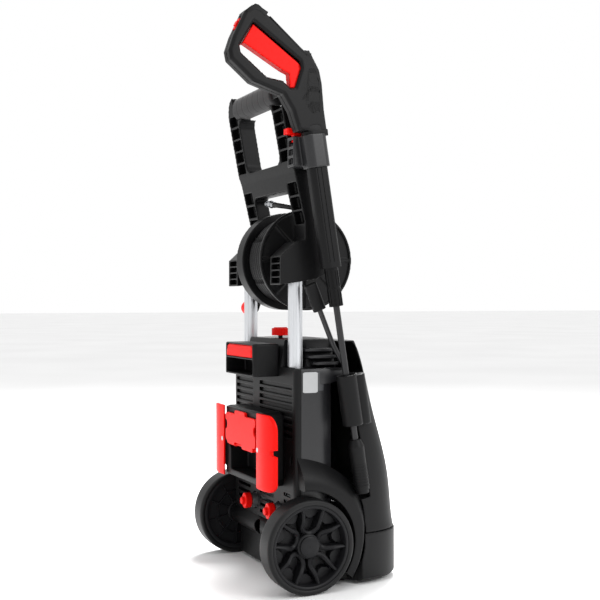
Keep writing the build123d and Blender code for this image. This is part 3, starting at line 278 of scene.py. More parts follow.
def make_finishes(colours):
    """Makes one material for each slot of the record, and a few more."""
    FINISHES.update(
        dark_shell=spark_grained_polypropylene("Dark grey spark-grained polypropylene", colours.shell),
        mid_shell=spark_grained_polypropylene("Mid grey spark-grained polypropylene", colours.panel,
                                              0.36, 0.45),
        black_frame=glass_filled_nylon("Black glass-filled nylon", colours.frame),
        accent=self_coloured_abs("Signal red self-coloured ABS", colours.accent),
        trigger=self_coloured_abs("Red self-coloured trigger ABS", colours.accent),
        tube=anodised_extrusion("Natural anodised aluminium extrusion", colours.tube),
        steel=turned_metal("Bright turned steel", linear("#B9BBBE")),
        zinc=die_cast_metal("Zinc plated steel", linear("#8A8C8E")),
        lance=coated_steel_pipe("Dark electro-coated steel pipe", colours.lance),
        grip=moulded_elastomer("Grey over-moulded elastomer", colours.grip),
        tyre=spark_grained_polypropylene("Grey moulded tread polymer", colours.tyre, 0.45, 0.25),
        hub=spark_grained_polypropylene("Grey moulded wheel polypropylene", colours.wheel, 0.42, 0.2),
        hose=high_pressure_hose("Braided high-pressure hose", colours.hose),
        foot=moulded_elastomer("Black rubber pad", linear("#1C1D1E"), 0.8),
        brass=turned_metal("Machined brass", linear("#C0A060")),
        cast=die_cast_metal("Die-cast aluminium", linear("#9A9C9E")),
        label=blank_vinyl("Blank white vinyl label", linear("#A4A5A6")),
        label_dark=blank_vinyl("Blank dark vinyl field", linear("#3A3B3D")),
    )


# ---------------------------------------------------------------- mesh helpers
def new_piece(name, mesh, slot, body, stands_for=(), crease=38):
    """Links a mesh as a piece that rides on a body and may stand for CAD nodes."""
    piece = bpy.data.objects.new(name, mesh)
    bpy.context.scene.collection.objects.link(piece)
    mesh.materials.clear()
    mesh.materials.append(FINISHES[slot])
    for face in mesh.polygons:
        face.use_smooth = True
    mesh.set_sharp_from_angle(angle=math.radians(crease))
    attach(piece, body)
    if stands_for:
        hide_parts(*stands_for)
    return piece


def from_bmesh(name, shape, slot, body, stands_for=(), crease=38):
    """Turns a finished bmesh into a piece."""
    bmesh.ops.recalc_face_normals(shape, faces=shape.faces)
    mesh = bpy.data.meshes.new(name)
    shape.to_mesh(mesh)
    shape.free()
    return new_piece(name, mesh, slot, body, stands_for, crease)


def moulded(name, nodes, voxel_mm, passes=2, slot=None):
    """Rounds the edges of CAD shells as a mould's radii do: a fine voxel skin, slightly relaxed."""
    shape = bmesh.new()
    for node in nodes:
        shape.from_mesh(frame["nodes"][node].data)
    bmesh.ops.remove_doubles(shape, verts=shape.verts, dist=0.01 * MM)
    mesh = bpy.data.meshes.new(name + "_source")
    shape.to_mesh(mesh)
    shape.free()
    source = bpy.data.objects.new(name + "_source", mesh)
    bpy.context.scene.collection.objects.link(source)
    remesh = source.modifiers.new("Skin", "REMESH")
    remesh.mode = "VOXEL"
    remesh.voxel_size = voxel_mm * MM
    relax = source.modifiers.new("Relax", "SMOOTH")
    relax.factor = 0.5
    relax.iterations = passes
    depsgraph = bpy.context.evaluated_depsgraph_get()
    result = bpy.data.meshes.new_from_object(source.evaluated_get(depsgraph))
    bpy.data.objects.remove(source)
    result.name = name
    return new_piece(name, result, slot or SLOT_OF[nodes[0]], BODY_OF[nodes[0]], nodes, 60)


def ring_faces(shape, loops, closed=True):
    """Skins equal vertex loops into a ring, or into a tube with flat ends if it isn't closed."""
    count = len(loops[0])
    for a, b in zip(loops, loops[1:] + loops[:1] if closed else loops[1:]):
        for i in range(count):
            j = (i + 1) % count
            shape.faces.new((a[i], a[j], b[j], b[i]))
    if not closed:
        shape.faces.new(list(reversed(loops[0])))
        shape.faces.new(loops[-1])


def lathe_x(shape, profile, x0, side, steps=96):
    """Turns a closed profile of (radius, offset outwards) in mm about the axle."""
    loops = []
    for k in range(steps):
        a = 2 * math.pi * k / steps
        loops.append([shape.verts.new((x0 + side * x * MM, AXLE_Y + r * MM * math.cos(a),
                                       AXLE_Z + r * MM * math.sin(a))) for r, x in profile])
    ring_faces(shape, loops)


def tube_along(shape, points, radius, sides=10):
    """Round tube through points, with flat ends."""
    loops = []
    up = Vector((0, 0, 1))
    for i, point in enumerate(points):
        ahead = points[min(i + 1, len(points) - 1)] - points[max(i - 1, 0)]
        ahead.normalize()
        across = ahead.cross(up if abs(ahead.z) < 0.9 else Vector((1, 0, 0))).normalized()
        rise = across.cross(ahead)
        loops.append([shape.verts.new(point + radius * (across * math.cos(2 * math.pi * k / sides)
                                                        + rise * math.sin(2 * math.pi * k / sides)))
                      for k in range(sides)])
    ring_faces(shape, loops, closed=False)


def smoothstep(t):
    """Eased ramp from 0 to 1."""
    t = max(0.0, min(1.0, t))
    return t * t * (3 - 2 * t)


def along(table, x):
    """Value at x on the straight lines between a table's (x, value) rows."""
    if x <= table[0][0]:
        return table[0][1]
    for (x0, v0), (x1, v1) in zip(table, table[1:]):
        if x <= x1:
            return v0 + (v1 - v0) * (x - x0) / (x1 - x0)
    return table[-1][1]


# ---------------------------------------------------------------- settings
def colour_setting(name, about, code):
    """Colour property with its sRGB default."""
    return bpy.props.FloatVectorProperty(name=name, description=about, subtype="COLOR", size=3, min=0, max=1,
                                         default=linear(code))


class WasherColours(bpy.types.PropertyGroup):
    """Colours of the washer's finishes."""
    shell: colour_setting("Shell", "Front cover, base, deck and gun", "#0C0C0D")
    panel: colour_setting("Side panels", "Smooth side panels and gun clip", "#1A1A1C")
    frame: colour_setting("Frame", "Moulded handle, crank and reel", "#050506")
    accent: colour_setting("Accent", "Hooks, cover, plugs, knob and trigger", "#E61009")
    tube: colour_setting("Tubes", "Handle tubes", "#D6D8DB")
    lance: colour_setting("Lances", "Lance pipes", "#18181A")
    grip: colour_setting("Grip", "Soft grip on the top bar", "#1E1D1E")
    tyre: colour_setting("Tread", "Tread bands of the wheels", "#0F0F10")
    wheel: colour_setting("Wheels", "Spoked wheels", "#151517")
    hose: colour_setting("Hose", "High-pressure hose", "#141415")


class WasherSizes(bpy.types.PropertyGroup):
    """Sizes of the washer's detail."""
    hose_diameter: bpy.props.FloatProperty(name="Hose diameter", description="Outside diameter of the hose",
                                           default=9.2 * MM, min=0.004, max=0.02, unit="LENGTH")
    petals: bpy.props.IntProperty(name="Petals", description="Looped spokes in each wheel", default=5, min=3,
                                  max=9)
    grip_segments: bpy.props.IntProperty(name="Grip segments", description="Raised bands of the soft grip",
                                         default=7, min=2, max=16)
    blade: bpy.props.FloatProperty(name="Spoke thickness", description="Thickness of a spoke's blade",
                                   default=5.4 * MM, min=0.002, max=0.01, unit="LENGTH")
    skin: bpy.props.FloatProperty(name="Moulding detail", description="Fineness of the rounded shells",
                                  default=1.5 * MM, min=0.0008, max=0.004, unit="LENGTH")


# ---------------------------------------------------------------- stage
CAMERA_PLACE = Vector((-1.657, 0.755, 0.486))
CAMERA_AIM = Vector((0.9026, -0.4305, 0.0014))
CAMERA_LENS = 59.9
FLOOR_LINES = (-40, -12, -3, 0, 3, 12, 40)


def soft_light(name, place, aim, size, power):
    """Large square studio light."""
    light = bpy.data.lights.new(name, "AREA")
    light.size = size
    light.energy = power
    lamp = bpy.data.objects.new(name, light)
    lamp.location = place
    lamp.rotation_euler = (Vector(aim) - Vector(place)).to_track_quat("-Z", "Y").to_euler()
    bpy.context.scene.collection.objects.link(lamp)


class WASHER_OT_stage(bpy.types.Operator):
    """Pale floor, soft studio lights and the camera"""
    bl_idname = "washer.stage"
    bl_label = "Build stage"

    def execute(self, context):
        shape = bmesh.new()
        rows = [[shape.verts.new((x, y, 0)) for x in FLOOR_LINES] for y in FLOOR_LINES]
        for a, b in zip(rows, rows[1:]):
            for k in range(len(a) - 1):
                shape.faces.new((a[k], a[k + 1], b[k + 1], b[k]))
        mesh = bpy.data.meshes.new("studio_floor")
        shape.to_mesh(mesh)
        shape.free()
        floor = bpy.data.objects.new("studio_floor", mesh)
        context.scene.collection.objects.link(floor)
        mesh.materials.append(matt_studio_paper("Matt white studio paper"))

        world = bpy.data.worlds.new("Studio")
        world.use_nodes = True
        world.node_tree.nodes["Background"].inputs["Color"].default_value = (1, 1, 1, 1)
        world.node_tree.nodes["Background"].inputs["Strength"].default_value = 1.0
        context.scene.world = world
        context.scene.view_settings.view_transform = "Standard"
        soft_light("key", (-2.0, -1.1, 1.6), (0, 0, 0.35), 1.0, 20)
        soft_light("top", (1.3, -0.85, 2.3), (0, 0, 0.4), 1.2, 120)
        soft_light("overhead", (-0.4, 0.1, 2.4), (0, 0, 0.2), 1.0, 12)

        lens = bpy.data.cameras.new("camera")
        lens.lens = CAMERA_LENS
        lens.sensor_width = 36
        camera = bpy.data.objects.new("camera", lens)
        camera.location = CAMERA_PLACE
        camera.rotation_euler = CAMERA_AIM.to_track_quat("-Z", "Y").to_euler()
        context.scene.collection.objects.link(camera)
        context.scene.camera = camera
        return {"FINISHED"}


# ---------------------------------------------------------------- hose
# free end of the hose, from the winding up to its fitting
HOSE_ROUTE_MM = [(-42, -54, 638.5), (-42, -35, 647), (-37, -19.7, 652), (-27.4, -6.5, 655.5),
                 (-14.3, 3, 658.4), (1.2, 8.1, 660.7), (16.4, 8.4, 663)]
HOSE_LAYERS = 4


class WASHER_OT_hose(bpy.types.Operator):
    """Wound hose on the reel and its free end"""
    bl_idname = "washer.hose"
    bl_label = "Build hose"

    def execute(self, context):
        sizes = context.scene.washer_sizes
        radius = sizes.hose_diameter / 2
        curve = bpy.data.curves.new("hose_end", "CURVE")
        curve.dimensions = "3D"
        curve.bevel_depth = radius
        curve.bevel_resolution = 5
        curve.resolution_u = 16
        curve.use_fill_caps = True
        spline = curve.splines.new("NURBS")
        spline.points.add(len(HOSE_ROUTE_MM) - 1)
        for point, place in zip(spline.points, HOSE_ROUTE_MM):
            point.co = (*(Vector(place) * MM), 1)
        spline.order_u = 3
        spline.use_endpoint_u = True
        curve.materials.append(FINISHES["hose"])
        end = bpy.data.objects.new("hose_end", curve)
        context.scene.collection.objects.link(end)
        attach(end, "reel")
        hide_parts("hose_tail")

        y, z = (WIND_LOW.y + WIND_HIGH.y) / 2, (WIND_LOW.z + WIND_HIGH.z) / 2
        width = WIND_HIGH.x - WIND_LOW.x
        turns = int(width // sizes.hose_diameter)
        pitch = width / turns
        core = (CORE_HIGH.z - CORE_LOW.z) / 2
        steps = 44
        shape = bmesh.new()
        for layer in range(HOSE_LAYERS):
            r = core + radius + layer * sizes.hose_diameter
            points = []
            for i in range(int((turns - 0.9) * steps) + 1):
                t = i / steps
                across = pitch * (0.5 + t * (turns - 1) / (turns - 0.9))
                x = WIND_LOW.x + across if layer % 2 else WIND_HIGH.x - across
                a = 2 * math.pi * t
                points.append(Vector((x, y + r * math.cos(a), z + r * math.sin(a))))
            tube_along(shape, points, radius)
        from_bmesh("wound_hose", shape, "hose", "reel", ["hose_winding"])
        return {"FINISHED"}


# ---------------------------------------------------------------- wheels
# sections of tread, rim, hub and cap, as (radius, offset outwards from the tread's middle) in mm
TYRE_PROFILE = [(69.9, -18.5), (72, -19.6), (75.5, -19.8), (77.6, -18.8), (78.8, -16.4), (79, -13), (79, 13),
                (78.8, 16.4), (77.6, 18.8), (75.5, 19.8), (72, 19.6), (69.9, 18.4)]
RIM_PROFILE = [(70, -18.5), (70, 16.8), (69, 17.9), (66.5, 18.2), (64.6, 17.2), (63.4, 14.5), (62.2, -6),
               (62, -18), (63.5, -18.9), (68, -19)]
HUB_PROFILE = [(6.2, -16.8), (20, -16.8), (21, -15.6), (21, 3), (20.4, 6.2), (18.4, 8), (14, 8.8), (6.2, 9)]
CAP_PROFILE = [(0.5, 8), (17.2, 8), (17.8, 10), (17.4, 12), (15.8, 13), (9, 13.6), (0.5, 13.8)]


PETAL_LEAN = math.radians(95)


def petal_line(turn):
    """Middle line of one looped spoke, in (radius direction, sideways) mm: a round foot and two long sides."""
    foot, half, tip = 35.0, 14.5, 65.0
    line = []
    for k in range(9):
        line.append((tip - (tip - foot) * k / 9, half + 5.5 * (1 - k / 9) ** 1.6))
    for k in range(1, 12):
        a = math.pi / 2 + math.pi * k / 12
        line.append((foot + half * math.cos(a), half * math.sin(a)))
    for k in range(9, -1, -1):
        line.append((tip - (tip - foot) * k / 9, -half - 5.5 * (1 - k / 9) ** 1.6))
    c, s = math.cos(turn), math.sin(turn)
    return [(u * c - v * s, u * s + v * c, math.hypot(u, v)) for u, v in line]


def blade_loop(shape, line, i, half, x0, side):
    """Cross-section of a spoke at one point of its line: tall, tapered and rounded at the outer edge."""
    y, z, r = line[i]
    y0, z0, _ = line[max(i - 1, 0)]
    y1, z1, _ = line[min(i + 1, len(line) - 1)]
    run = math.hypot(y1 - y0, z1 - z0)
    ny, nz = -(z1 - z0) / run, (y1 - y0) / run
    top = 4.5 + 10.5 * smoothstep((r - 22) / 26)
    foot = 1.9 - 0.75 * smoothstep((r - 30) / 30)
    section = [(-foot, -8.8), (-0.5 - foot / 2, top - 2.6), (-0.55, top - 0.6), (0, top), (0.55, top - 0.6),
               (0.5 + foot / 2, top - 2.6), (foot, -8.8)]
    return [shape.verts.new((x0 + side * x * MM, AXLE_Y + (y + ny * w * half) * MM,
                             AXLE_Z + (z + nz * w * half) * MM)) for w, x in section]


def dish_height(r, sector):
    """Height of the wheel's dish in mm: deep round the hub, with a half-round shelf at the rim in every gap."""
    across = 2 * abs(sector - 0.5)
    shelf = 62 - 17 * math.sqrt(max(0.0, 1 - (across / 0.86) ** 2))
    return -8.5 + 9.5 * smoothstep((r - shelf) / 2.4 + 0.5)


def dished_web(shape, x0, side, petals, turn):
    """Closed dish behind the spokes, with ribs on its inner face."""
    around, radii = 30 * petals, [19 + 1.75 * j for j in range(26)]
    front, back = [], []
    for k in range(around):
        a = turn + 2 * math.pi * k / around
        c, z = math.cos(a), math.sin(a)
        sector = (k / 15 + 0.5) % 1
        front.append([shape.verts.new((x0 + side * dish_height(r, sector) * MM, AXLE_Y + r * MM * c,
                                       AXLE_Z + r * MM * z)) for r in radii])
        back.append([shape.verts.new((x0 - side * 11 * MM, AXLE_Y + r * MM * c, AXLE_Z + r * MM * z))
                     for r in radii])
    for k in range(around):
        n = (k + 1) % around
        for j in range(len(radii) - 1):
            shape.faces.new((front[k][j], front[n][j], front[n][j + 1], front[k][j + 1]))
            shape.faces.new((back[k][j], back[k][j + 1], back[n][j + 1], back[n][j]))
        shape.faces.new((front[k][0], back[k][0], back[n][0], front[n][0]))
        shape.faces.new((front[k][-1], front[n][-1], back[n][-1], back[k][-1]))
    lathe_x(shape, [(41, -16), (41, -10.5), (42.6, -10.5), (42.6, -16)], x0, side)
    for k in range(2 * petals):
        a = turn + math.pi * k / petals
        run = Vector((0, math.cos(a), math.sin(a)))
        flat = Vector((0, -math.sin(a), math.cos(a)))
        loops = []
        for r in (20, 62.5):
            loops.append([shape.verts.new(Vector((x0 - side * x * MM, AXLE_Y, AXLE_Z))
                                          + (run * r + flat * w) * MM)
                          for x, w in ((10.5, -0.8), (16, -0.8), (16, 0.8), (10.5, 0.8))])
        ring_faces(shape, loops, closed=False)


class WASHER_OT_wheels(bpy.types.Operator):
    """Spoked wheels with their tread bands and hub caps"""
    bl_idname = "washer.wheels"
    bl_label = "Build wheels"

    def execute(self, context):
        sizes = context.scene.washer_sizes
        for word, side in (("left", -1), ("right", 1)):
            low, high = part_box("tyre_" + word)
            x0 = (low.x + high.x) / 2
            body = BODY_OF["tyre_" + word]
            shape = bmesh.new()
            lathe_x(shape, TYRE_PROFILE, x0, side)
            from_bmesh("tread_" + word, shape, "tyre", body, ["tyre_" + word])
            shape = bmesh.new()
            lathe_x(shape, RIM_PROFILE, x0, side)
            lathe_x(shape, HUB_PROFILE, x0, side)
            dished_web(shape, x0, side, sizes.petals, PETAL_LEAN)
            for k in range(sizes.petals):
                line = petal_line(PETAL_LEAN + 2 * math.pi * k / sizes.petals)
                loops = [blade_loop(shape, line, i, sizes.blade / 2 / MM, x0, side) for i in range(len(line))]
                ring_faces(shape, loops, closed=False)
            from_bmesh("spoked_wheel_" + word, shape, "hub", body, ["wheel_" + word], 32)
            shape = bmesh.new()
            lathe_x(shape, CAP_PROFILE, x0, side, 64)
            from_bmesh("hub_dome_" + word, shape, "hub", body, ["hub_cap_" + word])
        return {"FINISHED"}


# ---------------------------------------------------------------- body shells
# reach of the wheel arch from the axle, by angle from the rear horizon, in degrees and mm
ARCH_REACH = [(86.8, 143), (100, 138.5), (117, 135), (133, 133.5), (143, 130.5), (155, 123), (175, 115),
              (190, 111.5), (216, 111)]
ARCH_INNER = 90.0
ARCH_START, ARCH_END = ARCH_REACH[0][0], ARCH_REACH[-1][0]


def arch_section(reach, inset, foot):
    """Closed cross-section of the wheel arch as (radius, x) in mm: a rounded lip that sweeps into the panel."""
    lip = FENDER_HIGH.x / MM
    inner = PANEL_HIGH.x / MM
    section = [(ARCH_INNER, inner), (ARCH_INNER, lip - 3), (ARCH_INNER + 0.8, lip - 0.8), (ARCH_INNER + 3, lip)]
    for k in range(1, 13):
        t = k / 12
        r = ARCH_INNER + 3 + (reach - ARCH_INNER - 3) * t
        fall = max(0, (t - inset) / (1 - inset))
        section.append((r, lip - (lip - inner - foot) * (1 - math.cos(math.pi / 2 * fall))))
    section.append((reach, inner))
    return section


def wheel_arch(side):
    """Swept wheel arch, from behind the wheel's top round to its foot."""
    shape = bmesh.new()
    loops = []
    steps = 72
    for k in range(steps + 1):
        degrees = ARCH_START + (ARCH_END - ARCH_START) * k / steps
        a = math.radians(180 - degrees)
        reach = along(ARCH_REACH, degrees)
        foot = 11 * smoothstep((degrees - 120) / 45)
        inset = 0.1 + 0.45 * smoothstep((degrees - 120) / 50)
        loops.append([shape.verts.new((side * x * MM, AXLE_Y - r * MM * math.cos(a),
                                       AXLE_Z + r * MM * math.sin(a)))
                      for r, x in arch_section(reach, inset, foot)])
    ring_faces(shape, loops, closed=False)
    return shape


# side panel's outline from above, from the rear to the groove, as (y, distance from the middle) in mm
PANEL_PLAN = [(28, 138), (4, 138), (-6, 137.7), (-13, 136.6), (-19, 134.7), (-25, 131.8), (-30, 128.8),
              (-34, 126.2)]


def side_plate(side):
    """Smooth side panel whose front edge rolls into the groove."""
    shape = bmesh.new()
    low, high = PANEL_LOW.z / MM, PANEL_HIGH.z / MM
    heights = [low, low + 40, low + 80, low + 150, low + 220, high - 4, high - 1.2, high - 0.2]
    drops = [0, 0, 0, 0, 0, 0, 0.6, 2.2]
    outer = []
    for z, drop in zip(heights, drops):
        ring = [shape.verts.new((side * (x - drop) * MM, y * MM, z * MM)) for y, x in PANEL_PLAN]
        ring += [shape.verts.new((side * (x - 3) * MM, (y + (1.5 if y < 0 else 0)) * MM, z * MM))
                 for y, x in reversed(PANEL_PLAN)]
        outer.append(ring)
    ring_faces(shape, outer, closed=False)
    return shape


def label_sheet(y0, y1, z0, z1, side=-1):
    """Thin blank label with cut corners that follows the side panel's curve."""
    shape = bmesh.new()
    loops = []
    for i in range(9):
        y = y0 + (y1 - y0) * i / 8
        cut = 1.5 if i in (0, 8) else 0
        x = along(sorted(PANEL_PLAN), y)
        loops.append([shape.verts.new((side * (x + dx) * MM, y * MM, z * MM))
                      for dx, z in ((0.02, z0 + cut), (0.3, z0 + cut), (0.3, z1 - cut), (0.02, z1 - cut))])
    ring_faces(shape, loops, closed=False)
    return shape


# the band's outline from above, in the same form
BELT_PLAN = [(10, 137.9), (-10, 137.9), (-26, 137.2), (-40, 135.6), (-53, 133.4)]


def top_belt(side):
    """Band that carries the panel's top edge forward over the recess behind the lances."""
    shape = bmesh.new()
    top = PANEL_HIGH.z / MM
    loops = []
    for y, x in BELT_PLAN:
        drop = 27 - 6 * smoothstep((-y - 20) / 33)
        section = [(x - 4, top - drop), (x - 0.6, top - drop), (x, top - drop + 1), (x, top - 2.4),
                   (x - 0.7, top - 0.9), (x - 2.2, top - 0.1), (x - 4, top - 0.1)]
        loops.append([shape.verts.new((side * u * MM, y * MM, z * MM)) for u, z in section])
    ring_faces(shape, loops, closed=False)
    return shape


def slat(side, z, x_out, y_rear):
    """One flat slat of the deck's flank, with a rounded outer rear corner."""
    shape = bmesh.new()
    front, inner, r = -49.6, 88, 9
    plan = [(inner, front), (x_out, front)]
    for k in range(7):
        a = math.pi / 2 * k / 6
        plan.append((x_out - r + r * math.cos(a), y_rear - r + r * math.sin(a)))
    plan += [(inner, y_rear)]
    loops = []
    for inset, rise in ((1.2, 0), (0, 1.2), (0, 4.6), (1.2, 5.8)):
        loops.append([shape.verts.new((side * (x - inset) * MM, (y - inset if y > front else y) * MM,
                                       (z + rise) * MM)) for x, y in plan])
    ring_faces(shape, loops, closed=False)
    return shape


def deck_profile(x):
    """How much of the deck's rise is reached at a distance x in mm from the middle, from 0 to 1."""
    return smoothstep((116 - abs(x)) / 30)


def deck_moulding():
    """Deck: a flat ledge round a raised middle with sloping flanks."""
    low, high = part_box("top_deck")
    ledge, top = PANEL_HIGH.z / MM, high.z / MM
    y0, y1 = low.y / MM, high.y / MM
    shape = bmesh.new()
    xs = [-137 + 274 * i / 136 for i in range(137)]
    ys = [y0 + (y1 - y0) * j / 46 for j in range(47)]

    def lift(x, y):
        """Height of the deck's surface at a point, in mm."""
        reach = smoothstep((39 - y) / 9) if abs(x) < 78 else smoothstep((8 - y) / 10)
        height = (top - ledge - 2) * deck_profile(x) * reach
        return ledge - 0.4 + height + 1.6 * deck_profile(x) * smoothstep((-y - 5) / 40)

    grid = [[shape.verts.new((x * MM, y * MM, lift(x, y) * MM)) for y in ys] for x in xs]
    floor = [[shape.verts.new((x * MM, y * MM, (ledge - 4) * MM)) for y in (y0, y1)] for x in xs]
    for i in range(len(xs) - 1):
        for j in range(len(ys) - 1):
            shape.faces.new((grid[i][j], grid[i + 1][j], grid[i + 1][j + 1], grid[i][j + 1]))
        shape.faces.new((floor[i][0], floor[i][1], floor[i + 1][1], floor[i + 1][0]))
        shape.faces.new((floor[i][0], floor[i + 1][0], grid[i + 1][0], grid[i][0]))
        shape.faces.new((floor[i][1], grid[i][-1], grid[i + 1][-1], floor[i + 1][1]))
    for i in (0, -1):
        shape.faces.new([floor[i][0], *grid[i], floor[i][1]])
    return shape


# baffle behind the louvres: height range, place and half width in mm
BAFFLE_LOW, BAFFLE_HIGH, BAFFLE_Y, BAFFLE_HALF = 166, 373, 35, 125


def baffle():
    """Dark corrugated baffle behind the louvres."""
    shape = bmesh.new()
    loops = []
    folds = 56
    for k in range(folds + 1):
        z = BAFFLE_LOW + (BAFFLE_HIGH - BAFFLE_LOW) * k / folds
        front = BAFFLE_Y + (0.5 if k % 2 else -0.5)
        back = front - 0.8
        corners = ((-BAFFLE_HALF, front), (BAFFLE_HALF, front), (BAFFLE_HALF, back), (-BAFFLE_HALF, back))
        loops.append([shape.verts.new((x * MM, y * MM, z * MM)) for x, y in corners])
    ring_faces(shape, loops, closed=False)
    return shape


# blank labels on the side panels: name, finish, then their reach along y and z in mm
LABELS = (("label_field", "label", -3, 25, 331, 366), ("label_strip", "label_dark", -15, -3.6, 334, 366))
# slats of the deck's flank: height above the ledge, outer edge and rear edge in mm
DECK_SLATS = ((4, 125, -4), (15.5, 119, 3), (27, 111, 6))


class WASHER_OT_body(bpy.types.Operator):
    """Body shells: covers, panels, wheel arches, deck, base and holster"""
    bl_idname = "washer.body"
    bl_label = "Build body"

    def execute(self, context):
        skin = context.scene.washer_sizes.skin / MM
        for word, side in (("left", -1), ("right", 1)):
            from_bmesh("wheel_arch_" + word, wheel_arch(side), "dark_shell", "chassis", ["fender_" + word], 40)
            from_bmesh("side_plate_" + word, side_plate(side), "mid_shell", "chassis",
                       ["side_panel_" + word], 40)
        moulded("front_shell", ["front_cover"], skin + 0.1, 4)
        moulded("rear_shell", ["rear_cover"], skin, 1)
        moulded("base_shell", ["base_tray"], skin + 0.2, 3)
        moulded("lance_socket", ["holster"], 1.1, 4)
        for name, slot, y0, y1, z0, z1 in LABELS:
            from_bmesh(name, label_sheet(y0, y1, z0, z1), slot, "chassis")
            from_bmesh(name + "_right", label_sheet(y0, y1, z0, z1, 1), slot, "chassis")
        for word, side in (("left", -1), ("right", 1)):
            from_bmesh("top_belt_" + word, top_belt(side), "mid_shell", "chassis", (), 40)
            for k, (rise, x_out, y_rear) in enumerate(DECK_SLATS):
                shape = slat(side, PANEL_HIGH.z / MM + rise, x_out, y_rear)
                from_bmesh(f"deck_slat_{word}_{k}", shape, "mid_shell", "chassis")
        from_bmesh("deck_moulding", deck_moulding(), "dark_shell", "chassis", ["top_deck"], 35)
        from_bmesh("louvre_baffle", baffle(), "black_frame", "chassis")
        return {"FINISHED"}


def hook_plate(word, side):
    """Cable hook: a bowed plate with rounded outer corners and a notch half way up its outer edge."""
    low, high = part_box("cable_hook_" + word)
    x0, x1 = sorted((abs(low.x) / MM, abs(high.x) / MM))
    z0, z1, rear = low.z / MM, high.z / MM, high.y / MM
    middle = (z0 + z1) / 2 + 2

    def outer(z):
        """Outer edge at a height, with its corners and its notch."""
        edge = x1
        if z < z0 + 15:
            edge -= 15 - math.sqrt(max(0.0, 225 - (z0 + 15 - z) ** 2))
        if z > z1 - 27:
            edge -= 20 * (1 - math.sqrt(max(0.0, 1 - ((z - z1 + 27) / 27) ** 2)))
        return edge - 9 * smoothstep((5.6 - abs(z - middle)) / 2.2)

    def bow(x):
        """Rear face at a distance from the middle."""
        return rear - 10 * max(0.0, (x - x0 - 20) / (x1 - x0 - 20)) ** 2

    shape = bmesh.new()
    heights = sorted({round(z0 + (z1 - z0) * k / 60, 3) for k in range(61)}
                     | {middle + d for d in (-5.6, -4.5, -3.4, 3.4, 4.5, 5.6)} | {z0 + 1, z1 - 1, z1 - 3})
    loops = []
    for z in heights:
        end = min(z - z0, z1 - z)
        thin = 0.8 * (1 - min(1.0, end / 1.5))
        e = outer(z)
        xs = [x0 + (e - x0) * t for t in (0, 0.25, 0.45, 0.6, 0.75, 0.88, 0.96, 1)]
        front = [(x, bow(x) - thin - (1.2 if i in (0, 7) else 0)) for i, x in enumerate(xs)]
        back = [(x, bow(x) - 5.2 + thin + (1.2 if i in (0, 7) else 0)) for i, x in enumerate(xs)]
        loops.append([shape.verts.new((side * x * MM, y * MM, z * MM)) for x, y in front + back[::-1]])
    ring_faces(shape, loops, closed=False)
    return shape


def lift_lip_shape():
    """Lip above the lifting recess, with rounded upper corners and a shallow step along its face."""
    low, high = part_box("lift_lip")
    middle, half = (low.x + high.x) / 2 / MM, (high.x - low.x) / 2 / MM
    y0, y1, z0, z1 = low.y / MM, high.y / MM, low.z / MM, high.z / MM
    corner = 9
    shape = bmesh.new()
    loops = []
    for k in range(49):
        t = -1 + 2 * k / 48
        end = half * (1 - abs(t))
        drop = corner - math.sqrt(max(0.0, corner ** 2 - (corner - min(corner, end)) ** 2))
        tight = 0.7 * (1 - min(1, end / 1.2))
        tall = z1 - z0
        section = [(y1 - 2.4, z0 + tight), (y1 - tight, z0 + 1.4), (y1 - tight, z0 + tall * 0.62 - drop * 0.5),
                   (y1 - 0.9 - tight, z0 + tall * 0.68 - drop * 0.5), (y1 - 0.9 - tight, z1 - 2 - drop),
                   (y1 - 2.6, z1 - drop), (y0 + 1, z1 - drop), (y0, z1 - 1 - drop), (y0, z0 + 1),
                   (y0 + 1, z0 + tight)]
        x = middle + half * t
        loops.append([shape.verts.new((x * MM, y * MM, z * MM)) for y, z in section])
    ring_faces(shape, loops, closed=False)
    return shape


class WASHER_OT_rear_fittings(bpy.types.Operator):
    """Accessory box and cover, cable hooks, lifting handle and plugs"""
    bl_idname = "washer.rear_fittings"
    bl_label = "Build rear fittings"

    def execute(self, context):
        moulded("accessory_box", ["holder_box"], 1.4, 2)
        moulded("accessory_cover", ["holder_cover"], 1.0, 3)
        for word, side in (("left", -1), ("right", 1)):
            from_bmesh("hook_" + word, hook_plate(word, side), "accent", "chassis", ["cable_hook_" + word], 40)
        moulded("lift_box", ["lift_handle"], 1.4, 4)
        from_bmesh("lift_lip_round", lift_lip_shape(), "accent", BODY_OF["lift_lip"], ["lift_lip"], 40)
        moulded("plug_inlet", ["inlet_plug"], 0.9, 3)
        moulded("plug_outlet", ["outlet_plug"], 0.9, 3)
        return {"FINISHED"}


